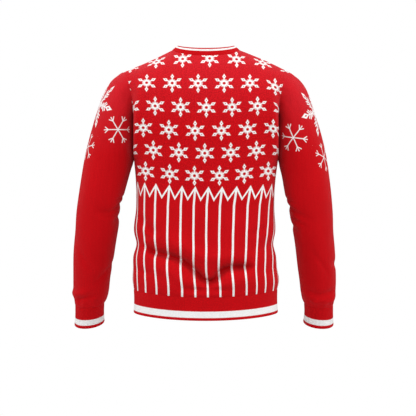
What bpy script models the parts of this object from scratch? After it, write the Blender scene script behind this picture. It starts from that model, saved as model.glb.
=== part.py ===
"""A crew-neck knit sweatshirt in the hollow shape it keeps on a wearer's shoulders, in metres.

+Z is up and the wearer faces +Y, so the back panel faces -Y. The origin is where the shoulders hold the
garment: on its middle plane, level with the tops of the shoulder seams. Every piece is one closed wall of
cloth: a grid of outer points, the same grid moved inwards by the cloth's thickness, and the cut edges.
"""

import math
from collections import namedtuple

import bmesh
import bpy
import numpy as np

# Cloth
CLOTH = 0.0020
RIB = 0.0028
SEAM_GAP = 0.0003

# How finely the walls are cut
NECK_COLUMNS = 6
SHOULDER_COLUMNS = 8
ARMHOLE_ROWS = 11
SLEEVE_ROWS = 2
BAND_ROWS = 3

# Body. A section is the oval at one height: side_z is its height at the side seams, shift how far it hangs
# to one side, back and front how far the cloth stands behind and before them, squareness 2 for an ellipse
# and more for a squarer oval, and the dips how much lower than the sides it hangs at centre back and front.
# The rows are the rows of faces in each panel up to the next section.
Section = namedtuple(
    "Section", "name side_z half_width shift back front squareness back_dip front_dip back_rows front_rows"
)
BODY = (
    Section("hem seam", -0.6240, 0.1860, -0.0010, 0.112, 0.106, 2.40, 0.013, 0.004, 2, 1),
    Section("blouse over the hem", -0.6030, 0.1895, -0.0005, 0.118, 0.112, 2.40, 0.013, 0.004, 4, 2),
    Section("low back", -0.5700, 0.1865, -0.0025, 0.118, 0.114, 2.40, 0.012, 0.004, 4, 2),
    Section("under the pinch", -0.5390, 0.1850, -0.0035, 0.116, 0.114, 2.39, 0.011, 0.004, 4, 2),
    Section("side pinch", -0.5080, 0.1772, -0.0030, 0.113, 0.115, 2.38, 0.010, 0.004, 4, 2),
    Section("over the pinch", -0.4760, 0.1830, -0.0035, 0.111, 0.116, 2.37, 0.009, 0.004, 3, 2),
    Section("waist", -0.4150, 0.1790, -0.0020, 0.108, 0.118, 2.35, 0.006, 0.003, 3, 2),
    Section("ribs", -0.3450, 0.1808, -0.0010, 0.112, 0.122, 2.32, 0.005, 0.002, 3, 2),
    Section("underarm", -0.2900, 0.1868, 0.0, 0.117, 0.125, 2.30, 0.004, 0.001, 0, 0),
    Section("guide over the underarm", -0.2400, 0.1920, 0.0, 0.120, 0.127, 2.30, 0.003, 0.000, 0, 0),
)
UNDERARM = 8

# Top line of each panel: the neckline from the middle to the neck point, then the shoulder seam.
NECK_POINT = (0.088, 0.0, -0.001)
SHOULDER_POINT = (0.218, 0.0, -0.063)
# How far the left and the right shoulder stand over a straight line.
SHOULDER_ROUND = (-0.0025, 0.0025)
# A neckline stands depth behind or before the neck points and drop under them at its middle; roundness is
# its oval's, and fall how soon it drops on the way there.
Neckline = namedtuple("Neckline", "depth drop roundness fall")
BACK_NECK = Neckline(0.064, 0.0275, 2.2, 1.4)
FRONT_NECK = Neckline(0.076, 0.080, 2.1, 1.25)

# How the cloth arrives at the top line: at is the share of the way from the middle to the armhole, and out,
# over and up are its pull there, over being across the shoulder.
Arrival = namedtuple("Arrival", "name at out over up")
BACK_ARRIVAL = (
    Arrival("centre back", 0.0, 0.00, 0.20, 0.20),
    Arrival("neck corner", 0.30, -0.05, 0.275, 0.19),
    Arrival("neck point", 0.43, -0.04, 0.41, 0.19),
    Arrival("shoulder", 0.70, 0.02, 0.40, 0.12),
    Arrival("shoulder point", 1.0, 0.12, 0.30, 0.04),
)
FRONT_ARRIVAL = (
    Arrival("centre front", 0.0, 0.00, 0.18, 0.22),
    Arrival("neck corner", 0.30, -0.06, 0.265, 0.21),
    Arrival("neck point", 0.43, -0.04, 0.41, 0.21),
    Arrival("shoulder", 0.70, 0.02, 0.40, 0.12),
    Arrival("shoulder point", 1.0, 0.12, 0.30, 0.04),
)
# The armhole's edge leaves the underarm this way, and the columns turn to it from EDGE_FROM outwards.
BACK_EDGE = (0.000, 0.30, 0.13)
FRONT_EDGE = (-0.030, 0.26, 0.13)
EDGE_FROM = 0.55
# How strongly the body's own slope at the underarm carries on up, and how slanted a seam's cut edge may be.
GUIDE_PULL = 5.2
LEAST_MITRE = 0.6

# Sleeves, from the ring next to the armhole down. inner and outer are the seam side and the outer side of
# one ring seen from behind, with x counted outwards from the middle plane; y is the ring's middle, depth
# half its size along Y, nod how far its plane tips forwards, in degrees, and loop how much of the armhole's
# own shape it still has.
Ring = namedtuple("Ring", "name inner_x inner_z outer_x outer_z y depth nod loop")
LEFT_SLEEVE = (
    Ring("cap top", 0.1888, -0.2945, 0.2440, -0.0835, 0.000, 0.074, 0, 0.80),
    Ring("cap", 0.1900, -0.2990, 0.2640, -0.1150, 0.000, 0.073, 0, 0.55),
    Ring("cap end", 0.1915, -0.3040, 0.2830, -0.1650, 0.000, 0.071, 0, 0.28),
    Ring("biceps", 0.1950, -0.3130, 0.3000, -0.2220, 0.000, 0.068, 0, 0.08),
    Ring("upper arm", 0.2010, -0.3350, 0.3150, -0.2860, 0.000, 0.064, 1, 0.00),
    Ring("above elbow", 0.2145, -0.3800, 0.3280, -0.3600, 0.002, 0.060, 4, 0.00),
    Ring("elbow", 0.2240, -0.4180, 0.3370, -0.4180, 0.008, 0.058, 9, 0.00),
    Ring("below elbow", 0.2305, -0.4700, 0.3440, -0.4780, 0.020, 0.056, 13, 0.00),
    Ring("forearm", 0.2420, -0.5300, 0.3490, -0.5380, 0.034, 0.052, 14, 0.00),
    Ring("low forearm", 0.2540, -0.5900, 0.3515, -0.5960, 0.049, 0.048, 14, 0.00),
    Ring("blouse over the cuff", 0.2600, -0.6380, 0.3515, -0.6420, 0.062, 0.046, 14, 0.00),
    Ring("cuff seam", 0.2720, -0.6680, 0.3490, -0.6720, 0.069, 0.037, 14, 0.00),
)
LEFT_CUFF = (
    Ring("cuff seam", 0.2720, -0.6680, 0.3490, -0.6720, 0.069, 0.037, 14, 0.00),
    Ring("cuff middle", 0.2735, -0.6950, 0.3500, -0.7010, 0.076, 0.0355, 15, 0.00),
    Ring("cuff edge", 0.2730, -0.7200, 0.3530, -0.7270, 0.083, 0.0375, 18, 0.00),
)
RIGHT_SLEEVE = (
    Ring("cap top", 0.1888, -0.2945, 0.2440, -0.0835, 0.000, 0.074, 0, 0.80),
    Ring("cap", 0.1900, -0.2990, 0.2640, -0.1150, 0.000, 0.073, 0, 0.55),
    Ring("cap end", 0.1910, -0.3040, 0.2810, -0.1650, 0.000, 0.071, 0, 0.28),
    Ring("biceps", 0.1930, -0.3130, 0.2990, -0.2220, 0.000, 0.068, 0, 0.08),
    Ring("upper arm", 0.1980, -0.3350, 0.3130, -0.2860, 0.000, 0.064, 1, 0.00),
    Ring("above elbow", 0.2070, -0.3800, 0.3240, -0.3600, 0.002, 0.060, 4, 0.00),
    Ring("elbow", 0.2160, -0.4180, 0.3300, -0.4180, 0.008, 0.058, 9, 0.00),
    Ring("below elbow", 0.2270, -0.4700, 0.3350, -0.4780, 0.020, 0.056, 13, 0.00),
    Ring("forearm", 0.2380, -0.5300, 0.3400, -0.5380, 0.034, 0.052, 14, 0.00),
    Ring("low forearm", 0.2470, -0.5900, 0.3440, -0.5960, 0.049, 0.048, 14, 0.00),
    Ring("blouse over the cuff", 0.2530, -0.6380, 0.3430, -0.6420, 0.062, 0.046, 14, 0.00),
    Ring("cuff seam", 0.2620, -0.6680, 0.3390, -0.6720, 0.069, 0.037, 14, 0.00),
)
RIGHT_CUFF = (
    Ring("cuff seam", 0.2620, -0.6680, 0.3390, -0.6720, 0.069, 0.037, 14, 0.00),
    Ring("cuff middle", 0.2635, -0.6950, 0.3400, -0.7010, 0.076, 0.0355, 15, 0.00),
    Ring("cuff edge", 0.2610, -0.7210, 0.3420, -0.7270, 0.083, 0.0375, 18, 0.00),
)

# Bands. The hem band's sections are the body's ovals carried on down.
HEM = (
    Section("hem edge", -0.6845, 0.1868, -0.0005, 0.1130, 0.1070, 2.40, 0.0110, 0.004, 0, 0),
    Section("hem middle", -0.6540, 0.1853, -0.0008, 0.1115, 0.1055, 2.40, 0.0120, 0.004, 0, 0),
    Section("hem seam", -0.6240, 0.1860, -0.0010, 0.1120, 0.1060, 2.40, 0.0130, 0.004, 0, 0),
)
HEM_ROWS = (2, 1)
NECKBAND_HEIGHT = 0.0205
# How far from upright the neckband leans inwards at the back, the sides and the front, in degrees, and how
# much more upright it starts at its seam.
NECKBAND_LEAN = (10, 62, 40)
NECKBAND_CURL = 0.2

# Folds of the cloth. height is how far a fold stands out (below zero, how deep it is), width its spread,
# fade the share of its length over which each end dies away, and path runs along it: across and up on the
# body, and on a sleeve degrees round from its seam, by way of the back, and height.
Fold = namedtuple("Fold", "name height width fade path")
BACK_FOLDS = (
    Fold("long dip, left arm", -0.0080, 0.0145, 0.25,
         ((-0.165, -0.508), (-0.137, -0.524), (-0.094, -0.534), (-0.065, -0.547), (-0.034, -0.562),
          (0.004, -0.592))),
    Fold("long dip, right arm", -0.0060, 0.0140, 0.25,
         ((0.118, -0.558), (0.083, -0.562), (0.055, -0.576), (0.028, -0.584), (0.000, -0.596))),
    Fold("roll under the dip, left", 0.0045, 0.0160, 0.25,
         ((-0.150, -0.541), (-0.100, -0.560), (-0.060, -0.580), (-0.025, -0.604))),
    Fold("roll under the dip, right", 0.0040, 0.0160, 0.25,
         ((0.135, -0.580), (0.090, -0.590), (0.050, -0.605), (0.020, -0.615))),
    Fold("roll over the dip", 0.0035, 0.0180, 0.30,
         ((-0.120, -0.498), (-0.060, -0.518), (-0.010, -0.548), (0.040, -0.550), (0.090, -0.535))),
    Fold("drag from the left side", -0.0035, 0.0130, 0.30,
         ((-0.174, -0.430), (-0.150, -0.460), (-0.122, -0.488))),
)
FRONT_FOLDS = (
    Fold("sag from the right side", -0.0060, 0.0160, 0.30,
         ((0.165, -0.510), (0.110, -0.535), (0.050, -0.560), (0.005, -0.578))),
    Fold("sag from the left side", -0.0055, 0.0160, 0.30,
         ((-0.165, -0.505), (-0.120, -0.540), (-0.060, -0.556), (-0.015, -0.585))),
    Fold("drag to the chest", -0.0035, 0.0160, 0.35, ((0.172, -0.330), (0.120, -0.315), (0.075, -0.290))),
)
LEFT_FOLDS = (
    Fold("elbow crease", -0.0045, 0.0090, 0.35, ((-50, -0.395), (0, -0.402), (60, -0.420), (110, -0.405))),
    Fold("lower elbow crease", -0.0040, 0.0090, 0.35, ((-70, -0.450), (-10, -0.440), (50, -0.452))),
    Fold("forearm crease", -0.0035, 0.0100, 0.35, ((-30, -0.560), (30, -0.575), (90, -0.610))),
    Fold("blouse crease", -0.0045, 0.0080, 0.30, ((60, -0.630), (100, -0.640), (150, -0.652))),
    Fold("blouse roll", 0.0040, 0.0100, 0.30, ((80, -0.620), (150, -0.635), (220, -0.640))),
)
RIGHT_FOLDS = (
    Fold("elbow crease", -0.0045, 0.0090, 0.35, ((-60, -0.400), (0, -0.410), (50, -0.425), (100, -0.440))),
    Fold("lower elbow crease", -0.0040, 0.0090, 0.35, ((-60, -0.455), (0, -0.465), (60, -0.480))),
    Fold("forearm crease", -0.0035, 0.0100, 0.35, ((120, -0.540), (180, -0.560), (230, -0.590))),
    Fold("blouse crease", -0.0050, 0.0090, 0.30, ((20, -0.620), (90, -0.632), (170, -0.618))),
    Fold("blouse roll", 0.0040, 0.0100, 0.30, ((30, -0.645), (110, -0.652), (190, -0.640))),
)

# Colour and roughness
Finish = namedtuple("Finish", "colour roughness")
KNIT = Finish((0.560, 0.008, 0.014), 0.85)
RIBBING = Finish((0.500, 0.007, 0.012), 0.88)

Panel = namedtuple("Panel", "name side outer normals inner low beyond_neck")
UP = np.array([0.0, 0.0, 1.0])
NECK_SHARE = NECK_COLUMNS / (NECK_COLUMNS + SHOULDER_COLUMNS)
COLUMN_SHARES = np.linspace(-1, 1, 2 * (NECK_COLUMNS + SHOULDER_COLUMNS) + 1)


def smooth_at(at, knots, values):
    """Rows of a table between its knots, along a curve without corners."""
    knots = np.asarray(knots, float)
    values = np.asarray(values, float)
    order = np.argsort(knots)
    knots = knots[order]
    values = values[order]
    slopes = np.gradient(values, knots, axis=0)
    span = np.clip(np.searchsorted(knots, at, side="right") - 1, 0, len(knots) - 2)
    size = (knots[span + 1] - knots[span])[:, None]
    t = (np.asarray(at, float)[:, None] - knots[span][:, None]) / size
    return hermite(t, values[span], slopes[span] * size, values[span + 1], slopes[span + 1] * size)


def hermite(t, start, leaving, end, arriving):
    """The cubic from start to end that leaves and arrives with these pulls."""
    return (
        (2 * t**3 - 3 * t**2 + 1) * start
        + (t**3 - 2 * t**2 + t) * leaving
        + (3 * t**2 - 2 * t**3) * end
        + (t**3 - t**2) * arriving
    )


def smoothstep(value):
    value = np.clip(value, 0, 1)
    return value * value * (3 - 2 * value)


def oval_quarter(squareness, half_width, depth, shares):
    """Points evenly spaced along a quarter of an oval, from its far end on Y to its end on X."""
    angle = np.linspace(0, math.pi / 2, 181)
    x = half_width * np.sin(angle) ** (2 / squareness)
    y = depth * np.cos(angle) ** (2 / squareness)
    run = np.concatenate([[0], np.cumsum(np.hypot(np.diff(x), np.diff(y)))])
    at = shares * run[-1]
    return np.interp(at, run, x), np.interp(at, run, y)


def section_row(section, side, shares):
    """One height of a panel: side is -1 for the back and 1 for the front, shares run from -1 to 1."""
    depth = section.back if side < 0 else section.front
    dip = section.back_dip if side < 0 else section.front_dip
    x, y = oval_quarter(section.squareness, section.half_width, depth, np.abs(shares))
    z = section.side_z - dip * (1 - (x / section.half_width) ** 2)
    return np.stack([np.sign(shares) * x + section.shift, side * y, z], axis=-1)


def sections_between(sections, rows):
    """The sections of every row, with rows[i] rows of faces between sections i and i + 1."""
    heights = [section.side_z for section in sections]
    wanted = [heights[0]]
    for low, high, count in zip(heights, heights[1:], rows):
        wanted += list(np.linspace(low, high, count + 1)[1:])
    values = smooth_at(np.array(wanted), heights, [section[1:9] for section in sections])
    return [Section("row", *row, 0, 0) for row in values]


def top_line(side, shares):
    """The neckline and the shoulder seams of a panel, across its columns."""
    neck = BACK_NECK if side < 0 else FRONT_NECK
    away = np.abs(shares)
    in_neck = np.minimum(away / NECK_SHARE, 1)
    x, y = oval_quarter(neck.roundness, NECK_POINT[0], neck.depth, in_neck)
    z = NECK_POINT[2] - neck.drop * (y / neck.depth) ** neck.fall
    along = np.clip((away - NECK_SHARE) / (1 - NECK_SHARE), 0, 1)
    x = x + along * (SHOULDER_POINT[0] - NECK_POINT[0])
    rounding = np.where(shares < 0, *SHOULDER_ROUND) * np.sin(math.pi * along)
    z = z + along * (SHOULDER_POINT[2] - NECK_POINT[2]) + rounding
    return np.stack([np.sign(shares) * x, side * y, z], axis=-1)


def panel_points(side, shares, rows):
    """The outer points of the back (side -1) or the front (1), from the hem seam up, without folds."""
    lower = [section_row(section, side, shares) for section in sections_between(BODY[: UNDERARM + 1], rows)]
    start = lower[-1]
    guide = section_row(BODY[UNDERARM + 1], side, shares)
    end = top_line(side, shares)
    away = np.abs(shares)
    ones = np.ones_like(shares)
    to_edge = smoothstep((away - EDGE_FROM) / (1 - EDGE_FROM))[:, None]
    edge = np.array(BACK_EDGE if side < 0 else FRONT_EDGE) * (1, side, 1)
    edge = edge * np.stack([np.sign(shares), ones, ones], axis=-1)
    leaving = (1 - to_edge) * (guide - start) * GUIDE_PULL + to_edge * edge
    arrival = BACK_ARRIVAL if side < 0 else FRONT_ARRIVAL
    pulls = smooth_at(away, [row.at for row in arrival], [row[2:] for row in arrival])
    arriving = pulls * np.stack([np.sign(shares), -side * ones, ones], axis=-1)
    upper = [hermite(t, start, leaving, end, arriving) for t in np.linspace(0, 1, ARMHOLE_ROWS + 1)[1:]]
    return np.array(lower + upper)


def normals_of(grid, wraps):
    """Unit normals of a grid of points (rows, columns, 3), outwards where columns run anticlockwise."""
    if wraps:
        across = np.roll(grid, -1, axis=1) - np.roll(grid, 1, axis=1)
    else:
        across = np.gradient(grid, axis=1)
    along = np.gradient(grid, axis=0)
    normal = np.cross(across, along)
    return normal / np.maximum(np.linalg.norm(normal, axis=-1, keepdims=True), 1e-12)


def path_offset(points, path):
    """How far each point (..., 2) is from a path, and how far along the path that is, from 0 to 1."""
    path = np.asarray(path, float)
    legs = np.diff(path, axis=0)
    lengths = np.hypot(legs[:, 0], legs[:, 1])
    starts = np.concatenate([[0], np.cumsum(lengths)])
    best = np.full(points.shape[:-1], np.inf)
    share = np.zeros(points.shape[:-1])
    for start, leg, length, run in zip(path, legs, lengths, starts):
        t = np.clip(((points - start) @ leg) / length**2, 0, 1)
        gap = np.linalg.norm(points - start - t[..., None] * leg, axis=-1)
        nearer = gap < best
        best = np.where(nearer, gap, best)
        share = np.where(nearer, (run + t * length) / starts[-1], share)
    return best, share


def fold_lift(points, folds):
    """How far the folds raise (or, below zero, sink) each point (..., 2) of the cloth."""
    lift = np.zeros(points.shape[:-1])
    for fold in folds:
        gap, share = path_offset(points, fold.path)
        ends = smoothstep(share / fold.fade) * smoothstep((1 - share) / fold.fade)
        lift = lift + fold.height * np.exp(-((gap / fold.width) ** 2)) * ends
    return lift


def ring_points(ring, count):
    """The points of one sleeve ring, from the seam side round the back, the outer side and the front."""
    inner = np.array([ring.inner_x, ring.y, ring.inner_z])
    outer = np.array([ring.outer_x, ring.y, ring.outer_z])
    nod = math.radians(ring.nod)
    back = ring.depth * np.array([0, -math.cos(nod), -math.sin(nod)])
    angle = np.arange(count) * 2 * math.pi / count
    middle = (inner + outer) / 2
    return middle - np.cos(angle)[:, None] * (outer - inner) / 2 + np.sin(angle)[:, None] * back


def armhole_shape(loop):
    """The armhole loop in its own ring's measures: along its width, its depth and out of its plane."""
    inner = loop[0]
    outer = loop[len(loop) // 2]
    half = (outer - inner) / 2
    length = np.linalg.norm(half)
    out = np.cross(half / length, (0, 1, 0))
    offsets = loop - (inner + outer) / 2
    return np.stack([offsets @ half / length**2, offsets[:, 1], offsets @ out], axis=-1)


def sleeve_points(rings, loop, rows):
    """The outer points of a sleeve on the +X side, from the armhole to its cuff seam, without folds."""
    shape = armhole_shape(loop)
    top = loop[len(loop) // 2]
    armhole = Ring("armhole", loop[0][0], loop[0][2], top[0], top[2], 0, rings[0].depth, 0, 1)
    rings = (armhole, *rings)
    at = np.concatenate([[0], *[i + np.arange(1, rows + 1) / rows for i in range(len(rings) - 1)]])
    values = smooth_at(at, np.arange(len(rings)), [ring[1:] for ring in rings])
    grid = []
    for row in values:
        ring = Ring("row", *row)
        plain = ring_points(ring, len(loop))
        half = np.array([ring.outer_x - ring.inner_x, 0, ring.outer_z - ring.inner_z]) / 2
        middle = np.array([ring.outer_x + ring.inner_x, 2 * ring.y, ring.outer_z + ring.inner_z]) / 2
        out = np.cross(half / np.linalg.norm(half), (0, 1, 0))
        own = middle + shape[:, :1] * half + shape[:, 1:2] * np.array([0, 1, 0]) + shape[:, 2:] * out
        grid.append((1 - ring.loop) * plain + ring.loop * own)
    return np.array(grid)


def joined_normals(*normals):
    """The direction of a seam's cut edge: the mean of the normals of the pieces that meet there."""
    total = np.sum(normals, axis=0)
    return total / np.maximum(np.linalg.norm(total, axis=-1, keepdims=True), 1e-9)


def seam_inner(outer, seam_normal, own_normal, thickness):
    """The inner points under a seam's cut edge, so that the pieces meet face to face."""
    cosine = np.sum(seam_normal * own_normal, axis=-1, keepdims=True)
    return outer - seam_normal * thickness / np.maximum(cosine, LEAST_MITRE)


def cuff_points(rings, count):
    """A cuff's outer points on the +X side, from its edge up to its seam."""
    at = np.linspace(0, len(rings) - 1, BAND_ROWS + 1)
    rows = smooth_at(at, np.arange(len(rings)), [ring[1:] for ring in rings])
    return np.array([ring_points(Ring("row", *row), count) for row in rows])[::-1]


def cut_edge(mesh, outer_a, outer_b, inner_b, inner_a):
    """One length of a cut edge, split from its lower outer corner, so that the edges at a seam match."""
    if outer_a.co.z < outer_b.co.z:
        corners = ((outer_a, outer_b, inner_b), (outer_a, inner_b, inner_a))
    else:
        corners = ((outer_b, inner_b, inner_a), (outer_b, inner_a, outer_a))
    for triangle in corners:
        mesh.faces.new(triangle)


def wall(name, finish, outer, inner, wraps):
    """One closed piece of cloth between two grids of points (rows, columns, 3)."""
    rows, columns = outer.shape[:2]
    mesh = bmesh.new()
    sheets = []
    for grid in (outer, inner):
        sheets.append([[mesh.verts.new(point) for point in row] for row in grid])
    spans = columns if wraps else columns - 1
    front, back = sheets
    for i in range(rows - 1):
        for j in range(spans):
            k = (j + 1) % columns
            for corners in (((i, j), (i, k), (i + 1, k)), ((i, j), (i + 1, k), (i + 1, j))):
                mesh.faces.new([front[row][column] for row, column in corners])
                mesh.faces.new([back[row][column] for row, column in reversed(corners)])
    for j in range(spans):
        k = (j + 1) % columns
        cut_edge(mesh, front[0][k], front[0][j], back[0][j], back[0][k])
        cut_edge(mesh, front[-1][j], front[-1][k], back[-1][k], back[-1][j])
    if not wraps:
        for i in range(rows - 1):
            cut_edge(mesh, front[i][0], front[i + 1][0], back[i + 1][0], back[i][0])
            cut_edge(mesh, front[i + 1][-1], front[i][-1], back[i][-1], back[i + 1][-1])
    data = bpy.data.meshes.new(name)
    mesh.to_mesh(data)
    mesh.free()
    data.shade_smooth()
    data.set_sharp_from_angle(angle=math.radians(50))
    data.materials.append(cloth_material(name, finish))
    piece = bpy.data.objects.new(name, data)
    bpy.context.scene.collection.objects.link(piece)
    return piece


def cloth_material(name, finish):
    """A piece's own plain dyed-knit material."""
    material = bpy.data.materials.new(name)
    material.use_nodes = True
    shader = material.node_tree.nodes["Principled BSDF"]
    shader.inputs["Base Color"].default_value = (*finish.colour, 1.0)
    shader.inputs["Roughness"].default_value = finish.roughness
    shader.inputs["Metallic"].default_value = 0.0
    material.diffuse_color = (*finish.colour, 1.0)
    return material


def level(vectors):
    """Directions with no rise."""
    flat = vectors * (1, 1, 0)
    return flat / np.maximum(np.linalg.norm(flat, axis=-1, keepdims=True), 1e-9)


def mirrored(grid):
    """A tube from the +X side moved to the -X side, its points in the order that faces it outwards."""
    return np.roll(grid[:, ::-1], 1, axis=1) * (-1, 1, 1)


def folded_panel(side, rows, folds):
    """A panel's outer points with its folds, which die away at its seams."""
    shares = COLUMN_SHARES if side < 0 else COLUMN_SHARES[::-1]
    grid = panel_points(side, shares, rows)
    lift = fold_lift(grid[..., (0, 2)], folds)
    up = np.arange(len(grid))
    ends = smoothstep(up / 2) * smoothstep((len(grid) - 1 - up) / 3)
    sides = smoothstep((1 - np.abs(shares)) / 0.10)
    lift = lift * ends[:, None] * sides[None, :]
    return grid + normals_of(grid, False) * lift[..., None]


def folded_sleeve(rings, loop, folds):
    """A sleeve's outer points on the +X side with its folds, from its cuff seam up to its armhole."""
    grid = sleeve_points(rings, loop, SLEEVE_ROWS)[::-1]
    count = grid.shape[1]
    turn = np.arange(count) * 360.0 / count
    drop = grid.mean(axis=1)[:, 2]
    girth = np.linalg.norm(grid - np.roll(grid, 1, axis=1), axis=-1).sum(axis=1).mean()
    lift = np.zeros(grid.shape[:2])
    for wrap in (-360.0, 0.0, 360.0):
        across = (turn[None, :] + wrap) / 360.0 * girth
        points = np.stack(np.broadcast_arrays(across, drop[:, None]), axis=-1)
        for fold in folds:
            path = [(degrees / 360.0 * girth, height) for degrees, height in fold.path]
            lift = lift + fold_lift(points, [fold._replace(path=path)])
    up = np.arange(len(grid))
    lift = lift * (smoothstep(up / 2) * smoothstep((len(grid) - 1 - up) / 4))[:, None]
    return grid + normals_of(grid, True) * lift[..., None]


def neckband_points(seam):
    """The band's outer points from its seam up to its top edge."""
    inward = -level(seam / (NECK_POINT[0], BACK_NECK.depth, 1))
    toward_front = np.clip(seam[:, 1] / FRONT_NECK.depth, 0, 1)
    toward_back = np.clip(-seam[:, 1] / BACK_NECK.depth, 0, 1)
    at = toward_front**1.5 - toward_back**1.5
    lean = np.radians(np.interp(at, (-1, 0, 1), NECKBAND_LEAN))[:, None]
    grid = []
    for share in np.linspace(0, 1, BAND_ROWS + 1):
        turned = lean * (1 + NECKBAND_CURL * (share - 1) / 2)
        rise = inward * np.sin(turned) + UP * np.cos(turned)
        grid.append(seam + share * NECKBAND_HEIGHT * rise)
    return np.array(grid)


def closed_seam(loop, seam_normal, toward):
    """A step of one seam gap across a closed seam's cut face, to the side that the second piece lies on."""
    along = np.roll(loop, -1, axis=0) - np.roll(loop, 1, axis=0)
    step = np.cross(along, seam_normal)
    step = step / np.maximum(np.linalg.norm(step, axis=-1, keepdims=True), 1e-12)
    return step * np.sign(np.sum(step * toward, axis=-1, keepdims=True)) * SEAM_GAP


def ring_rows(sections, rows):
    """A closed band's points from its sections, round the back and then the front."""
    between = sections_between(sections, rows)
    back = np.array([section_row(section, -1, COLUMN_SHARES) for section in between])
    front = np.array([section_row(section, 1, COLUMN_SHARES[::-1]) for section in between])
    return np.concatenate([back, front[:, 1:-1]], axis=1)


def make_panel(name, side, rows, folds):
    """The back (side -1) or the front (1), its side edges and its hem edge already cut square."""
    outer = folded_panel(side, rows, folds)
    normals = normals_of(outer, False)
    inner = outer - CLOTH * normals
    low = sum(rows)
    for column in (0, -1):
        across = normals[:low, column] * (1, 0, 1)
        across = across / np.linalg.norm(across, axis=-1, keepdims=True)
        inner[:low, column] = outer[:low, column] - CLOTH * across
    inner[0] = outer[0] - CLOTH * level(normals[0])
    for column in (0, -1):
        inner[0, column] = outer[0, column] - CLOTH * np.sign(outer[0, column]) * (1, 0, 0)
    beyond_neck = np.abs(COLUMN_SHARES) > NECK_SHARE - 1e-6
    if side > 0:
        beyond_neck = beyond_neck[::-1]
    return Panel(name, side, outer, normals, inner, low, beyond_neck)


def join_shoulders(back, front):
    """Cuts both panels' shoulder edges so that they meet face to face."""
    seam = joined_normals(back.normals[-1], front.normals[-1][::-1])
    for panel, normals in ((back, seam), (front, seam[::-1])):
        cut = seam_inner(panel.outer[-1], normals, panel.normals[-1], CLOTH)
        panel.inner[-1][panel.beyond_neck] = cut[panel.beyond_neck]


def add_neckband(back, front):
    """Cuts both panels' necklines and stands the neckband on them."""
    count = 2 * NECK_COLUMNS
    neck = slice(SHOULDER_COLUMNS, SHOULDER_COLUMNS + count + 1)
    line = np.concatenate([back.outer[-1][neck], front.outer[-1][neck][1:-1]])
    line_normals = np.concatenate([back.normals[-1][neck], front.normals[-1][neck][1:-1]])
    band = neckband_points(line)
    normals = normals_of(band, True)
    seam = joined_normals(line_normals, normals[0])
    rim = seam_inner(line, seam, line_normals, CLOTH)
    back.inner[-1][neck] = rim[: count + 1]
    front.inner[-1][neck] = np.concatenate([rim[count:], rim[:1]])
    gap = closed_seam(line, seam, band[1] - band[0])
    inner = band - RIB * normals
    inner[0] = seam_inner(line, seam, normals[0], RIB) + gap
    band[0] = band[0] + gap
    wall("neckband", RIBBING, band, inner, True)


def armhole_loop(back, front, share, back_low, front_low):
    """Values round an armhole, up the back from the underarm and down the front; share is 1 for +X."""
    behind = back[back_low:, -1 if share > 0 else 0]
    before = front[front_low:, 0 if share > 0 else -1]
    return np.concatenate([behind, before[::-1][1:-1]])


def add_sleeve(back, front, share, side, rings, cuff_rings, folds):
    """Cuts both panels at one armhole, hangs the sleeve there and puts the cuff on it."""
    flip = np.array([share, 1, 1])
    loop = armhole_loop(back.outer, front.outer, share, back.low, front.low) * flip
    normals = armhole_loop(back.normals, front.normals, share, back.low, front.low) * flip
    half = len(loop) // 2
    edges = (-1, 0) if share > 0 else (0, -1)
    for at, back_row, front_row in ((0, back.low, front.low), (half, -1, -1)):
        pair = back.normals[back_row, edges[0]] + front.normals[front_row, edges[1]]
        normals[at] = pair * flip / np.linalg.norm(pair)
    sleeve = folded_sleeve(rings, loop, folds)
    sleeve_normals = normals_of(sleeve, True)
    seam = joined_normals(normals, sleeve_normals[-1])
    rim = seam_inner(loop, seam, normals, CLOTH)
    back.inner[back.low :, edges[0]] = rim[: half + 1] * flip
    front.inner[front.low :, edges[1]] = np.concatenate([rim[half:], rim[:1]])[::-1] * flip
    gap = closed_seam(loop, seam, sleeve[-2] - sleeve[-1])
    inner = sleeve - CLOTH * sleeve_normals
    inner[-1] = rim + gap
    sleeve[-1] = sleeve[-1] + gap
    cuff = cuff_points(cuff_rings, len(loop))
    cuff_inner = cuff - RIB * normals_of(cuff, True)
    cuff[-1] = cuff[-1] - SEAM_GAP * UP
    cuff_inner[-1] = cuff_inner[-1] - SEAM_GAP * UP
    grids = (sleeve, inner, cuff, cuff_inner)
    if share < 0:
        grids = [mirrored(grid) for grid in grids]
    wall(f"sleeve_{side}", KNIT, grids[0], grids[1], True)
    wall(f"cuff_{side}", RIBBING, grids[2], grids[3], True)


def add_hem_band():
    """Hangs the hem band under the panels."""
    hem = ring_rows(HEM, HEM_ROWS)
    normals = normals_of(hem, True)
    inner = hem - RIB * normals
    inner[-1] = hem[-1] - RIB * level(normals[-1])
    for grid in (hem, inner):
        grid[-1] = grid[-1] - SEAM_GAP * UP
    wall("hem_band", RIBBING, hem, inner, True)


def add_panel(panel):
    """Draws a panel back half a gap at its side and shoulder seams, and makes it."""
    step = np.array([0, panel.side * SEAM_GAP / 2, 0])
    for points in (panel.outer, panel.inner):
        points[: panel.low + 1, 0] += step
        points[: panel.low + 1, -1] += step
        points[-1][panel.beyond_neck] += step
    wall(panel.name, KNIT, panel.outer, panel.inner, False)


def build():
    """Makes every piece of the garment in the scene."""
    for thing in list(bpy.data.objects):
        bpy.data.objects.remove(thing, do_unlink=True)
    back = make_panel("back_panel", -1, [section.back_rows for section in BODY[:UNDERARM]], BACK_FOLDS)
    front = make_panel("front_panel", 1, [section.front_rows for section in BODY[:UNDERARM]], FRONT_FOLDS)
    join_shoulders(back, front)
    add_neckband(back, front)
    add_sleeve(back, front, 1, "right", RIGHT_SLEEVE, RIGHT_CUFF, RIGHT_FOLDS)
    add_sleeve(back, front, -1, "left", LEFT_SLEEVE, LEFT_CUFF, LEFT_FOLDS)
    add_hem_band()
    add_panel(back)
    add_panel(front)


build()
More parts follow.
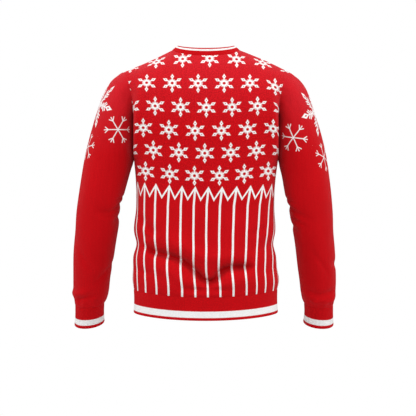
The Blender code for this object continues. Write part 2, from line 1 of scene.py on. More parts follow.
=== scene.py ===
"""The looks of a crew-neck knit sweatshirt, hollow, in the shape it keeps on a wearer's shoulders.

Metres, +Z up, the wearer faces +Y and the camera looks at the back. Every piece of cloth is a thin wall in
the place of its solid, with its creases, seams, ribs and knit.
"""

import math
from collections import namedtuple

import bpy
import numpy as np
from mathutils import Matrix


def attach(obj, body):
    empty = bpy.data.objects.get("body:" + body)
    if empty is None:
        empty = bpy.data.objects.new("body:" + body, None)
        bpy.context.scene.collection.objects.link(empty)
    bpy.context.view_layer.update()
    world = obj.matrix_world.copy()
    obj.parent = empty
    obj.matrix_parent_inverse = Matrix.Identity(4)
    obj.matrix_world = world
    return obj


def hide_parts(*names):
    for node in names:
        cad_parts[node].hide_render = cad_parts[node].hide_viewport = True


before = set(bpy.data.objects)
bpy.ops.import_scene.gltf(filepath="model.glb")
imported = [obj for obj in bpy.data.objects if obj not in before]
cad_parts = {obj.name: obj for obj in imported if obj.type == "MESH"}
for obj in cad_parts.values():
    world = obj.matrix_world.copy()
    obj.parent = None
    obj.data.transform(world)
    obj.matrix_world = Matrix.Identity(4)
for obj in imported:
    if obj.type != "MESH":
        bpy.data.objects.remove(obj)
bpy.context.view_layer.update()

# Camera, level behind the back. PIXEL is what one pixel of the photo shows in the plane Y = 0.
CAMERA = (0.0052, -2.5, -0.415)
PIXELS = 416
PIXEL = 0.0026
SENSOR = 36.0
CLIP_END = 50.0

# Studio: a pale round floor, soft square lights and the strength of the light from all around.
FLOOR_Z = -1.30
FLOOR_RADIUS = 0.8
FLOOR_CORNERS = 96
FLOOR_COLOUR = (0.75, 0.75, 0.75, 1.0)
FLOOR_ROUGHNESS = 0.9
WHITE_LIGHT = (1.0, 1.0, 1.0, 1.0)
FILL = 0.49
Light = namedtuple("Light", "name place target size power")
LIGHTS = (
    Light("key", (0.1, -2.7, 0.8), (0.0, 0.0, -0.38), 1.4, 26.0),
    Light("left", (-2.6, -0.8, 0.6), (0.0, 0.0, -0.38), 2.0, 33.0),
    Light("right", (2.6, -1.0, 0.5), (0.0, 0.0, -0.40), 2.0, 34.0),
    Light("top", (0.0, -0.6, 2.3), (0.0, 0.0, -0.35), 2.0, 30.0),
    Light("front", (-0.3, 2.4, 1.5), (0.0, 0.0, -0.38), 1.8, 34.0),
)

# Cloth: the walls' thicknesses, the gap between two pieces at a seam, and the least cosine of a mitred cut.
CLOTH = 0.0020
RIB = 0.0028
SEAM_GAP = 0.0001
LEAST_MITRE = 0.6

# How finely the walls are cut: the rows and columns that the solids have, and how many each is cut into.
NECK_COLUMNS = 6
SHOULDER_COLUMNS = 8
ARMHOLE_ROWS = 11
SLEEVE_ROWS = 2
COLUMN_CUTS = 6
LOW_CUTS = 5
ARMHOLE_CUTS = 9
SLEEVE_CUTS = 8
# A leg of a fold's path is cut into PATH_CUTS, and a quarter of an oval is measured at OVAL_POINTS. Edges
# that turn by more than SHARP degrees stay sharp.
PATH_CUTS = 6
OVAL_POINTS = 1441
SHARP = 55

# Body. A section is the oval at one height: side_z is its height at the side seams, shift how far it hangs
# to one side, back and front how far the cloth stands behind and before them, squareness 2 for an ellipse
# and more for a squarer oval, the dips how much lower than the sides it hangs at centre back and front, and
# back_rows and front_rows the rows of faces from it up to the next section.
Section = namedtuple(
    "Section",
    "name side_z half_width shift back front squareness back_dip front_dip back_rows front_rows",
    defaults=(0, 0),
)
BODY = (
    Section("hem seam", -0.6240, 0.1860, -0.0010, 0.112, 0.106, 2.40, 0.013, 0.004, 2, 1),
    Section("blouse over the hem", -0.6030, 0.1895, -0.0005, 0.118, 0.112, 2.40, 0.013, 0.004, 4, 2),
    Section("low back", -0.5700, 0.1865, -0.0025, 0.118, 0.114, 2.40, 0.012, 0.004, 4, 2),
    Section("under the pinch", -0.5390, 0.1850, -0.0035, 0.116, 0.114, 2.39, 0.011, 0.004, 4, 2),
    Section("side pinch", -0.5080, 0.1772, -0.0030, 0.113, 0.115, 2.38, 0.010, 0.004, 4, 2),
    Section("over the pinch", -0.4760, 0.1830, -0.0035, 0.111, 0.116, 2.37, 0.009, 0.004, 3, 2),
    Section("waist", -0.4150, 0.1790, -0.0020, 0.108, 0.118, 2.35, 0.006, 0.003, 3, 2),
    Section("ribs", -0.3450, 0.1808, -0.0010, 0.112, 0.122, 2.32, 0.005, 0.002, 3, 2),
    Section("underarm", -0.2900, 0.1868, 0.0, 0.117, 0.125, 2.30, 0.004, 0.001),
    Section("guide over the underarm", -0.2400, 0.1920, 0.0, 0.120, 0.127, 2.30, 0.003, 0.000),
)
UNDERARM = 8
# The shoulder seam's two ends, and how far it is rounded between them on the left and on the right.
NECK_POINT = (0.088, 0.0, -0.005)
SHOULDER_POINT = (0.218, 0.0, -0.063)
SHOULDER_ROUND = (-0.0025, 0.0025)
# A neckline: how far it reaches from the shoulder seams at its middle, how far it drops there, the
# squareness of its oval, and the power with which it drops.
Neckline = namedtuple("Neckline", "depth drop roundness fall")
BACK_NECK = Neckline(0.064, 0.0235, 2.2, 1.4)
FRONT_NECK = Neckline(0.076, 0.076, 2.1, 1.25)
# How the cloth arrives at the top line, from the middle to the armhole: its pull out, over and up.
Arrival = namedtuple("Arrival", "name at out over up")
BACK_ARRIVAL = (
    Arrival("centre back", 0.0, 0.00, 0.20, 0.20),
    Arrival("neck corner", 0.30, -0.05, 0.275, 0.19),
    Arrival("neck point", 0.43, -0.04, 0.41, 0.19),
    Arrival("shoulder", 0.70, 0.02, 0.40, 0.12),
    Arrival("shoulder point", 1.0, 0.12, 0.30, 0.04),
)
FRONT_ARRIVAL = (
    Arrival("centre front", 0.0, 0.00, 0.18, 0.22),
    Arrival("neck corner", 0.30, -0.06, 0.265, 0.21),
    Arrival("neck point", 0.43, -0.04, 0.41, 0.21),
    *BACK_ARRIVAL[3:],
)
# How it leaves the underarm: at its middle towards the guide section, GUIDE_PULL times as far, and from
# EDGE_FROM across ever more with the armhole edge's own pull, out, away from Y = 0 and up.
GUIDE_PULL = 5.2
EDGE_FROM = 0.55
BACK_EDGE = (0.000, 0.30, 0.13)
FRONT_EDGE = (-0.030, 0.26, 0.13)
# The height that the pattern counts from the underarm up to the top line.
YOKE_RISE = 0.26
# The panels are smoothed under their neck corners: how often, over what share across, and over how many
# rows that fades away at the underarm and at the top line.
EASE_PASSES = 80
EASE_WIDE = 0.14
EASE_ROWS = 14

# Sleeves, from the ring next to the armhole down. inner and outer are the seam side and the outer side of
# one ring seen from behind, with x counted outwards from the centre line; y is the ring's middle, depth half
# its size along Y, nod how far its plane tips forwards, in degrees, and loop how much of the armhole's own
# shape it still has.
Ring = namedtuple("Ring", "name inner_x inner_z outer_x outer_z y depth nod loop", defaults=(0.0,))
LEFT_SLEEVE = (
    Ring("cap top", 0.1888, -0.2945, 0.2440, -0.0835, 0.000, 0.074, 0, 0.80),
    Ring("cap", 0.1900, -0.2990, 0.2640, -0.1150, 0.000, 0.073, 0, 0.55),
    Ring("cap end", 0.1915, -0.3040, 0.2830, -0.1650, 0.000, 0.071, 0, 0.28),
    Ring("biceps", 0.1950, -0.3130, 0.3000, -0.2220, 0.000, 0.068, 0, 0.08),
    Ring("upper arm", 0.2010, -0.3350, 0.3150, -0.2860, 0.000, 0.064, 1),
    Ring("above elbow", 0.2145, -0.3800, 0.3280, -0.3600, 0.002, 0.060, 4),
    Ring("elbow", 0.2240, -0.4180, 0.3370, -0.4180, 0.008, 0.058, 9),
    Ring("below elbow", 0.2305, -0.4700, 0.3440, -0.4780, 0.020, 0.056, 13),
    Ring("forearm", 0.2420, -0.5300, 0.3490, -0.5380, 0.034, 0.052, 14),
    Ring("low forearm", 0.2540, -0.5900, 0.3515, -0.5960, 0.049, 0.048, 14),
    Ring("blouse over the cuff", 0.2600, -0.6380, 0.3515, -0.6420, 0.062, 0.046, 14),
    Ring("cuff seam", 0.2720, -0.6680, 0.3490, -0.6720, 0.069, 0.037, 14),
)
# The right sleeve's rings differ from the left one's in the x of their inner and their outer side alone.
RIGHT_SIDES = (
    (0.1888, 0.2440), (0.1900, 0.2640), (0.1910, 0.2810), (0.1930, 0.2990), (0.1980, 0.3130),
    (0.2070, 0.3240), (0.2160, 0.3300), (0.2270, 0.3350), (0.2380, 0.3400), (0.2470, 0.3440),
    (0.2530, 0.3430), (0.2620, 0.3390),
)
RIGHT_SLEEVE = tuple(
    ring._replace(inner_x=inner_x, outer_x=outer_x)
    for ring, (inner_x, outer_x) in zip(LEFT_SLEEVE, RIGHT_SIDES)
)

# Bands, from the seam to the edge
CUFF_HEIGHT = 0.0585
LEFT_CUFF = (
    LEFT_SLEEVE[-1],
    Ring("cuff middle", 0.2735, -0.6950, 0.3500, -0.7010, 0.076, 0.0355, 15),
    Ring("cuff edge", 0.2730, -0.7200, 0.3530, -0.7270, 0.083, 0.0375, 18),
)
RIGHT_CUFF = (
    RIGHT_SLEEVE[-1],
    Ring("cuff middle", 0.2635, -0.6950, 0.3400, -0.7010, 0.076, 0.0355, 15),
    Ring("cuff edge", 0.2610, -0.7210, 0.3420, -0.7270, 0.083, 0.0375, 18),
)
HEM_HEIGHT = 0.0605
HEM = (
    BODY[0],
    Section("hem middle", -0.6540, 0.1853, -0.0008, 0.1115, 0.1055, 2.40, 0.0120, 0.004),
    Section("hem edge", -0.6845, 0.1868, -0.0005, 0.1130, 0.1070, 2.40, 0.0110, 0.004),
)
# The neckband's edge leans in by these degrees at the centre back, the shoulders and the centre front, and
# its seam by this share of them less. LEAN_POWER is how late the lean changes from one to the next.
NECKBAND_HEIGHT = 0.0205
NECKBAND_LEAN = (10, 53, 40)
NECKBAND_CURL = 0.1
LEAN_POWER = 1.5
# How finely a band is cut between its seam and its edge and across a rib, the number of ribs round each band,
# and how far they rise.
BAND_ROWS = 10
RIB_COLUMNS = 6
HEM_RIBS = 336
CUFF_RIBS = 72
NECK_RIBS = 172
RIB_RISE = 0.00022
# Where a band is drawn in, its ribs fade by this share, and its wall gets thinner by this share.
RIB_FADE = 0.7
MOST_DRAWN = 0.9
# The rows next to a band's seam: how far from it, and how much the wall is drawn in there. The even rows
# begin at BAND_START.
SeamRow = namedtuple("SeamRow", "away drawn")
BAND_SEAM = (SeamRow(0.0, 0.45), SeamRow(0.0012, 0.12))
BAND_START = 0.003
# A band's folded edge: its height, the shares of it at which it has rows, up to its rim, and the most of them
# that its rounding counts, which keeps the rim a little blunt.
LIP = 0.0022
LIP_ROWS = (0.55, 0.82, 0.95, 1.0)
LIP_MOST = 0.94

# Folds of the cloth. height is how far a fold stands out (below zero, how deep it is), width its spread,
# fade the share of its length over which each end dies away, path runs along it, across and up on the body,
# and on a sleeve degrees round from its seam, by way of the back, and height; and lean is how much wider it
# is above its line than below.
Fold = namedtuple("Fold", "name height width fade path lean", defaults=(0.0,))
LONG_DIP = (
    (-0.166, -0.509), (-0.129, -0.528), (-0.101, -0.535), (-0.07, -0.545), (-0.048, -0.557),
    (-0.03, -0.573), (-0.0115, -0.593), (-0.001, -0.6015), (0.01, -0.603), (0.022, -0.597), (0.037, -0.578),
    (0.054, -0.569), (0.07, -0.5665), (0.098, -0.566), (0.128, -0.5625),
)
BACK_FOLDS = (
    Fold("long dip", -0.0185, 0.0135, 0.12, LONG_DIP, 0.3),
    Fold("roll under the dip, left", 0.0045, 0.014, 0.25,
         ((-0.15, -0.556), (-0.1, -0.572), (-0.06, -0.592), (-0.025, -0.612))),
    Fold("roll under the dip, right", 0.004, 0.014, 0.25,
         ((0.135, -0.59), (0.09, -0.596), (0.05, -0.606), (0.024, -0.616))),
    Fold("roll over the dip", 0.006, 0.018, 0.3,
         ((-0.12, -0.492), (-0.06, -0.51), (-0.01, -0.535), (0.04, -0.538), (0.09, -0.525))),
    Fold("drag from the left side", -0.0125, 0.0105, 0.3,
         ((-0.178, -0.43), (-0.15, -0.46), (-0.118, -0.492)), 0.3),
    Fold("second drag from the left side", -0.0045, 0.0085, 0.35,
         ((-0.18, -0.47), (-0.165, -0.48), (-0.138, -0.5))),
    Fold("crease in the dip", -0.015, 0.007, 0.12, LONG_DIP, 0.3),
    Fold("left side pinch", -0.003, 0.007, 0.35, ((-0.18, -0.502), (-0.16, -0.508), (-0.138, -0.518))),
    Fold("right side pinch", -0.003, 0.0075, 0.35, ((0.176, -0.505), (0.156, -0.512), (0.132, -0.528))),
    Fold("faint drag to the right side", -0.005, 0.0095, 0.35,
         ((0.164, -0.46), (0.138, -0.472), (0.108, -0.49))),
    Fold("low hollow at the left side", -0.006, 0.009, 0.35,
         ((-0.186, -0.57), (-0.162, -0.576), (-0.132, -0.588)), 0.2),
    Fold("low hollow at the right side", -0.0035, 0.009, 0.35,
         ((0.184, -0.56), (0.16, -0.57), (0.136, -0.586)), 0.2),
    Fold("hollow over the hem", -0.0075, 0.008, 0.35,
         ((-0.085, -0.612), (-0.008, -0.624), (0.078, -0.616)), 0.2),
    Fold("drag under the left arm", -0.002, 0.01, 0.4,
         ((-0.18, -0.306), (-0.152, -0.322), (-0.118, -0.328))),
    Fold("drag under the right arm", -0.002, 0.0095, 0.4, ((0.182, -0.302), (0.15, -0.316), (0.12, -0.334))),
)
FRONT_FOLDS = (
    Fold("sag from the right side", -0.006, 0.016, 0.3,
         ((0.165, -0.51), (0.11, -0.535), (0.05, -0.56), (0.005, -0.578))),
    Fold("sag from the left side", -0.0055, 0.016, 0.3,
         ((-0.165, -0.505), (-0.12, -0.54), (-0.06, -0.556), (-0.015, -0.585))),
    Fold("drag to the chest", -0.0035, 0.016, 0.35, ((0.172, -0.33), (0.12, -0.315), (0.075, -0.29))),
    Fold("crease in the right sag", -0.0024, 0.007, 0.3,
         ((0.158, -0.514), (0.118, -0.532), (0.07, -0.553), (0.03, -0.57))),
    Fold("crease in the left sag", -0.0024, 0.0065, 0.3,
         ((-0.155, -0.511), (-0.118, -0.541), (-0.072, -0.554), (-0.034, -0.574))),
    Fold("roll under the sags", 0.0035, 0.015, 0.3,
         ((-0.14, -0.562), (-0.07, -0.582), (-0.005, -0.603), (0.065, -0.585), (0.132, -0.56))),
    Fold("left side pinch", -0.0028, 0.0075, 0.35, ((-0.18, -0.5), (-0.158, -0.506), (-0.134, -0.503))),
    Fold("right side pinch", -0.0028, 0.007, 0.35, ((0.176, -0.504), (0.15, -0.506), (0.13, -0.499))),
    Fold("drag from the left underarm", -0.0024, 0.011, 0.4,
         ((-0.178, -0.312), (-0.14, -0.33), (-0.096, -0.334))),
    Fold("waist drag, right", -0.0018, 0.01, 0.4, ((0.17, -0.44), (0.13, -0.452), (0.085, -0.447))),
    Fold("waist drag, left", -0.002, 0.0105, 0.4, ((-0.17, -0.455), (-0.135, -0.474), (-0.1, -0.478))),
    Fold("chest fall, left", -0.0016, 0.012, 0.4, ((-0.15, -0.18), (-0.12, -0.225), (-0.105, -0.275))),
)
LEFT_FOLDS = (
    Fold("elbow crease", -0.0045, 0.009, 0.35, ((-50, -0.395), (0, -0.402), (60, -0.42), (110, -0.405))),
    Fold("lower elbow crease", -0.004, 0.009, 0.35, ((-70, -0.45), (-10, -0.44), (50, -0.452))),
    Fold("forearm crease", -0.0035, 0.01, 0.35, ((-30, -0.56), (30, -0.575), (90, -0.61))),
    Fold("blouse crease", -0.0045, 0.008, 0.3, ((60, -0.63), (100, -0.64), (150, -0.652))),
    Fold("blouse roll", 0.004, 0.01, 0.3, ((80, -0.62), (150, -0.635), (220, -0.64))),
    Fold("crease over the elbow", -0.002, 0.006, 0.35, ((-40, -0.372), (10, -0.38), (52, -0.392))),
    Fold("nick in the elbow", -0.0022, 0.005, 0.35, ((10, -0.428), (45, -0.433), (78, -0.428))),
    Fold("fall from the cap", -0.0016, 0.011, 0.4, ((62, -0.23), (50, -0.29), (40, -0.35))),
    Fold("front elbow crease", -0.003, 0.008, 0.35, ((-110, -0.412), (-75, -0.424), (-35, -0.42))),
    Fold("long forearm drag", -0.002, 0.009, 0.35, ((140, -0.5), (105, -0.545), (70, -0.585))),
    Fold("front blouse crease", -0.0035, 0.008, 0.3, ((-130, -0.636), (-80, -0.646), (-20, -0.634))),
)
RIGHT_FOLDS = (
    Fold("elbow crease", -0.0045, 0.009, 0.35, ((-60, -0.4), (0, -0.41), (50, -0.425), (100, -0.44))),
    Fold("lower elbow crease", -0.004, 0.009, 0.35, ((-60, -0.455), (0, -0.465), (60, -0.48))),
    Fold("forearm crease", -0.0035, 0.01, 0.35, ((120, -0.54), (180, -0.56), (230, -0.59))),
    Fold("blouse crease", -0.005, 0.009, 0.3, ((20, -0.62), (90, -0.632), (170, -0.618))),
    Fold("blouse roll", 0.004, 0.01, 0.3, ((30, -0.645), (110, -0.652), (190, -0.64))),
    Fold("crease over the elbow", -0.0022, 0.006, 0.35, ((-30, -0.38), (18, -0.388), (60, -0.398))),
    Fold("nick in the elbow", -0.0022, 0.0052, 0.35, ((8, -0.44), (40, -0.446), (82, -0.455))),
    Fold("fall from the cap", -0.0016, 0.011, 0.4, ((60, -0.225), (52, -0.285), (38, -0.345))),
    Fold("front elbow crease", -0.0032, 0.008, 0.35, ((-118, -0.425), (-80, -0.414), (-30, -0.428))),
    Fold("long forearm drag", -0.0018, 0.009, 0.35, ((60, -0.5), (95, -0.54), (130, -0.59))),
    Fold("front blouse crease", -0.0035, 0.0085, 0.3, ((-140, -0.622), (-85, -0.64), (-25, -0.646))),
)
# Soft unevenness of hanging cloth: height, and waves to a metre across and up, with their start. Along them
# they bend to and fro, by how much and so many times to a metre. Sleeves have this share of it.
SOFT_WAVES = (
    (0.0006, 5.3, 2.1, 0.4),
    (0.0005, -7.9, 4.4, 1.9),
    (0.0005, 3.1, 9.7, 3.1),
    (0.0003, 11.3, -6.1, 5.0),
)
WAVE_BEND = (0.6, 4.7)
SLEEVE_WAVES = 0.8
# How far round and along a sleeve its waves are spread on their way about it.
SLEEVE_SPREAD = (0.07, 0.05)
# How much of a fold's push a panel takes along each axis: little across it, so the stripes stay straight.
# And how far what stands out also falls, which makes each dip's upper side hang over it.
FOLD_PUSH = (0.15, 1.0, 1.0)
FOLD_FALL = 0.16
# Folds die away this near to a piece's edges: hem, top and side of a panel, cuff and top of a sleeve.
PANEL_FADES = (0.022, 0.075, 0.022)
SLEEVE_FADES = (0.016, 0.060)
# Cloth gathered into a band: height over the seam, how far up it dies away, and the pitch of its small
# waves. Their places sway and their heights swell, each by an amount and over so many pitches. So many go
# round a cuff, and they start where the cloth is GATHER_START above the seam.
HEM_GATHERS = (0.0009, 0.040, 0.027)
CUFF_GATHERS = (0.0015, 0.045, 0.022)
CUFF_WAVES = 11
GATHER_START = 0.006
GATHER_SWAYS = ((1.1, 5.3), (0.7, 3.1))
GATHER_SWELL = (0.3, 7)
# The gathers of front and back start this far to either side, so that they aren't alike.
GATHER_SHIFT = 0.13
# Beside a seam the cloth rolls up this much, and the seam lies in the dip: over what distance the roll rises
# and falls, and how far beside the seam it ends.
SEAM_ROLL = 0.0007
ROLL_RISE = 0.0045
ROLL_FALL = 0.012
ROLL_END = 0.018
# A sleeve's underarm seam counts as this far off at least, so that it lies less deep than the others.
LEAST_SEAM = 0.001
# The armhole seam sinks in towards the underarm, where sleeve and body press together: how deep, how far
# into the panel and into the sleeve, and from which height down; and the most of its distance from Y = 0.
Tuck = namedtuple("Tuck", "depth panel_wide sleeve_wide start full")
TUCKS = (
    Tuck(0.0280, 0.0065, 0.0120, -0.120, -0.185),
    Tuck(0.0180, 0.0160, 0.0300, -0.080, -0.135),
    Tuck(0.0200, 0.0040, 0.0055, -0.160, -0.215),
)
MOST_TUCK = 0.75

# Pattern of the body: the rows of small snowflakes from the top down, each with its height at the middle of
# the back, how much higher it stands at SIDEWAYS from there, and its middle flake and their pitch across.
FlakeRow = namedtuple("FlakeRow", "z rise middle pitch")
FLAKE_ROWS = (
    FlakeRow(-0.0376, -0.0015, 0.0094, 0.0683),
    FlakeRow(-0.1048, 0.0044, 0.0454, 0.0648),
    FlakeRow(-0.1661, 0.0065, 0.0011, 0.0639),
    FlakeRow(-0.2242, 0.0083, 0.0384, 0.0652),
    FlakeRow(-0.2793, 0.0100, -0.0028, 0.0645),
    FlakeRow(-0.3351, 0.0105, 0.0337, 0.0621),
)
SIDEWAYS = 0.135
# The least that the rows' height grows with each metre up the cloth, so that it doesn't draw them out where
# the yoke lies almost level.
LEAST_RISE = 0.66
FLAKE_PITCH = 0.0640
FLAKE_RADIUS = 0.0245
FLAKE_BREADTH = 1.07
ROW_PITCH = 0.0590
# Where the pattern sags, towards the shoulders and down the sides: how deep, where and how widely.
Sag = namedtuple("Sag", "depth x z wide high")
SAGS = (
    Sag(0.010, 0.178, -0.105, 0.028, 0.040),
    Sag(0.006, 0.214, -0.048, 0.034, 0.025),
    Sag(0.010, 0.190, -0.220, 0.024, 0.130),
    Sag(0.007, -0.192, -0.220, 0.022, 0.110),
)
# The stripes from left to right: their places across the cloth under the zigzag, and over the hem, where it
# is drawn in; how far they sway to one side at each height on their way down; and how much more they do so
# on the right than on the left, by this share at SWAY_FROM from the middle and at most SWAY_MOST times it.
HIGH_STRIPES = (
    -0.270, -0.234, -0.199, -0.164, -0.128, -0.091, -0.058, -0.025, 0.008,
    0.042, 0.079, 0.116, 0.153, 0.189, 0.225, 0.261, 0.297,
)
LOW_STRIPES = (
    -0.254, -0.222, -0.190, -0.158, -0.125, -0.093, -0.058, -0.025, 0.006,
    0.037, 0.070, 0.104, 0.131, 0.157, 0.189, 0.221, 0.253,
)
STRIPE_SWAY = (
    (-0.355, 0.0), (-0.405, -0.0040), (-0.460, -0.0030), (-0.510, -0.0028), (-0.560, -0.0028),
    (-0.600, -0.0012), (-0.624, 0.0),
)
SWAY_SHARE = 0.5
SWAY_FROM = 0.15
SWAY_MOST = 1.4
STRIPE_PITCH = 0.0335
STRIPE_WIDE = 0.0052
# Each stripe starts this far under its peak of the zigzag.
STRIPE_START = 0.004
# The zigzag's peaks and valleys at the middle of the back, how they rise sideways, and its line.
ZIGZAG_PEAK = -0.3602
ZIGZAG_VALLEY = -0.3894
ZIGZAG_RISE = (-0.0138, 0.24)
ZIGZAG_LINE = 0.0039

# Snowflakes of the upper arms, which are measured round a straight line from ARM_START that leans outwards:
# round is the way from the sleeve's outer line towards the back and down the way along it, in metres; radius
# is its arms' length and turn in degrees.
ARM_START = (0.2026, 0.0, -0.100)
ARM_LEAN = 15
ARM_RADIUS = 0.070
Motif = namedtuple("Motif", "name kind round down radius turn")
LEFT_MOTIFS = (
    Motif("large flake", "ornate", 0.0255, 0.0640, 0.0670, 22),
    Motif("back flake", "stick", 0.1210, 0.1180, 0.0370, -15),
    Motif("low flake", "stick", 0.0310, 0.1784, 0.0360, -17),
    Motif("front flake", "stick", -0.0803, 0.1413, 0.0345, 8),
)
RIGHT_MOTIFS = (
    Motif("large flake", "ornate", 0.0245, 0.0860, 0.0690, 24),
    Motif("back flake", "stick", 0.1275, 0.1372, 0.0375, -8),
    Motif("low flake", "stick", 0.0455, 0.2045, 0.0365, -4),
    Motif("front flake", "stick", -0.0787, 0.1580, 0.0345, 13),
)
# Beyond this many of its radii a point is taken to be FAR_OFF radii from a flake.
MOTIF_REACH = 1.3
FAR_OFF = 9

# What the snowflakes are drawn with, in shares of their radius: rods and lozenges lie along an arm or
# beside it, and a lozenge with a hole is an open one.
Rod = namedtuple("Rod", "name start end radius")
Lozenge = namedtuple("Lozenge", "name middle half_long half_wide")
SMALL_RING = 0.240
SMALL_RING_HALF = 0.090
SMALL_TIP = Lozenge("tip", 0.720, 0.300, 0.170)
SMALL_HOLE = 0.730
SMALL_HOLE_RADIUS = 0.050
SMALL_RODS = (
    Rod("stem", (0.30, 0.0), (0.52, 0.0), 0.050),
    Rod("tooth", (0.28, 0.162), (0.355, 0.205), 0.030),
    Rod("barb", (0.32, 0.05), (0.400, 0.115), 0.022),
)
ORNATE_HEART = (Lozenge("heart", 0.150, 0.150, 0.090), Lozenge("hole", 0.165, 0.060, 0.030))
ORNATE_TIP = (Lozenge("tip", 0.800, 0.205, 0.105), Lozenge("hole", 0.790, 0.070, 0.036))
ORNATE_STEM = Rod("stem", (0.20, 0.0), (0.64, 0.0), 0.024)
# The barbs' roots on the arm and their reach, and how far they go along it and beside it for each reach.
ORNATE_BARBS = ((0.24, 0.17), (0.36, 0.25), (0.49, 0.19))
BARB_WAY = (0.75, 0.66)
BARB_RADIUS = 0.026
STICK_RODS = (
    Rod("stem", (0.0, 0.0), (0.97, 0.0), 0.030),
    Rod("fork", (0.67, 0.0), (0.90, 0.190), 0.030),
)

# White stripe of a band, as shares of its height from the seam to the edge. NO_STRIPE lies beyond it.
HEM_STRIPE = (0.610, 0.880)
CUFF_STRIPE = (0.580, 0.845)
NECK_STRIPE = (0.590, 0.825)
NO_STRIPE = (2.0, 2.0)

# Yarns
RED = (0.575, 0.0022, 0.0058)
# The red below is a painted highlight: a paler, pinker red for where light falls on the yoke and the sleeve
# caps.
RED_PAINTED_HIGHLIGHT = (0.585, 0.0100, 0.0175)
RED_RIB = (0.565, 0.0022, 0.0055)
WHITE = (0.935, 0.930, 0.920)
# The heights between which the red is painted paler, a painted highlight where light falls on the top: on
# the body, and on a sleeve from its cuff seam up.
BODY_HIGHLIGHT_HEIGHTS = (-0.22, -0.06)
SLEEVE_HIGHLIGHT_HEIGHTS = (0.42, 0.57)
# How wide the shapes' edges fade, and how far the knit makes them waver, in the measures they are drawn in.
Edge = namedtuple("Edge", "soft waver")
FLAKE_EDGE = Edge(0.05, 0.012)
LINE_EDGE = Edge(0.0007, 0.0002)
ORNATE_EDGE = Edge(0.02, 0.008)
STICK_EDGE = Edge(0.035, 0.008)
BAND_EDGE = Edge(0.02, 0.006)
# Noises, by how many of their grains go to a metre.
WAVER = 260.0
BAND_WAVER = 320.0
MOTTLE = 330.0
CLOUDS = 16.0
FUZZ = 1900.0
# How much the mottle lightens and darkens the dye: on the body, how much more from MOTTLE_FADE over the
# zigzag's valleys up, and on the sleeves and the bands, where it differs a little between so many patches to
# a metre.
BODY_MOTTLE = 0.15
YOKE_MOTTLE = 0.45
MOTTLE_FADE = 0.02
SLEEVE_MOTTLE = 0.13
SLEEVE_PATCHES = 9.0
BAND_MOTTLE = 0.30
BAND_PATCHES = 30.0
MOTTLE_UNEVEN = 0.02
# Streaks along the wales: how many wales wide, and how much lighter or darker they and the clouds are.
STREAK_WALES = 1.5
STREAK = 0.05
CLOUD = 0.05
# How much less all this shows on white yarn.
WHITE_EVEN = 0.6
# White floats inside: how wide they are for their length, their grains, how white, how sharp and how many.
FLOAT_LONG = 0.35
FLOATS = 620.0
FLOAT_WHITE = 0.45
FLOAT_SHARP = 1.6
FLOAT_MORE = 0.2

# Knit: the pitch of its stitches across and along, where each leg of their V lies, how far it slants, and
# how much of its height dips between two stitches. Its grooves are painted darker, as painted shade, and
# rougher.
WALE = 0.0021
COURSE = 0.0016
LEG = 0.25
LEG_SLANT = 1.3
STITCH_DIP = 0.4
# Painted shade: the colour's scale in the grooves, and how much lighter it gets up on the yarn.
PAINTED_GROOVE_SHADE = 0.88
PAINTED_SHADE_SPAN = 0.16
GROOVE_ROUGHNESS = 0.90
YARN_ROUGHNESS = 0.10
FUZZ_HEIGHT = 0.25
BUMP_STRENGTH = 0.55
BUMP_DEPTH = 0.0007
NAP = {
    "Sheen Weight": 0.10,
    "Sheen Roughness": 0.35,
    "Sheen Tint": (1.0, 0.45, 0.52, 1.0),
    "Specular IOR Level": 0.08,
}

# Where the two sides of a wall lie on the map for baking: start and size across for each, below zero where it
# runs back, start and size along for both, and how far its cut edges reach beyond the outer side.
BAKE_OUTER = (0.012, 0.70)
BAKE_INNER = (0.990, -0.25)
BAKE_ALONG = (0.015, 0.97)
BAKE_EDGE = 0.006

TINY = 1e-12
FORWARD = np.array([0.0, 1.0, 0.0])
UP = np.array([0.0, 0.0, 1.0])
NECK_SHARE = NECK_COLUMNS / (NECK_COLUMNS + SHOULDER_COLUMNS)
SPANS = 2 * (NECK_COLUMNS + SHOULDER_COLUMNS)
SHARES = np.linspace(-1, 1, SPANS * COLUMN_CUTS + 1)


# ---- Shape ----


def smooth_at(at, knots, values):
    """Rows of a table between its knots, along a curve without corners."""
    knots = np.asarray(knots, float)
    values = np.asarray(values, float)
    order = np.argsort(knots)
    knots = knots[order]
    values = values[order]
    slopes = np.gradient(values, knots, axis=0)
    span = np.clip(np.searchsorted(knots, at, side="right") - 1, 0, len(knots) - 2)
    size = (knots[span + 1] - knots[span])[:, None]
    t = (np.asarray(at, float)[:, None] - knots[span][:, None]) / size
    return hermite(t, values[span], slopes[span] * size, values[span + 1], slopes[span + 1] * size)


def hermite(t, start, leaving, end, arriving):
    """The cubic from start to end that leaves and arrives with these pulls."""
    return (
        (2 * t**3 - 3 * t**2 + 1) * start
        + (t**3 - 2 * t**2 + t) * leaving
        + (3 * t**2 - 2 * t**3) * end
        + (t**3 - t**2) * arriving
    )


def smoothstep(value):
    value = np.clip(value, 0, 1)
    return value * value * (3 - 2 * value)


def unit(vectors):
    """Vectors made one long."""
    return vectors / np.maximum(np.linalg.norm(vectors, axis=-1, keepdims=True), TINY)


def oval_quarter(squareness, half_width, depth, shares):
    """Points evenly spaced along a quarter of an oval, from its far end on Y to its end on X."""
    angle = np.linspace(0, math.pi / 2, OVAL_POINTS)
    x = half_width * np.sin(angle) ** (2 / squareness)
    y = depth * np.cos(angle) ** (2 / squareness)
    run = np.concatenate([[0], np.cumsum(np.hypot(np.diff(x), np.diff(y)))])
    at = shares * run[-1]
    return np.interp(at, run, x), np.interp(at, run, y)


def section_row(section, side, shares):
    """One height of a panel: side is -1 for the back and 1 for the front, shares run from -1 to 1."""
    depth = section.back if side < 0 else section.front
    dip = section.back_dip if side < 0 else section.front_dip
    x, y = oval_quarter(section.squareness, section.half_width, depth, np.abs(shares))
    z = section.side_z - dip * (1 - (x / section.half_width) ** 2)
    return np.stack([np.sign(shares) * x + section.shift, side * y, z], axis=-1)


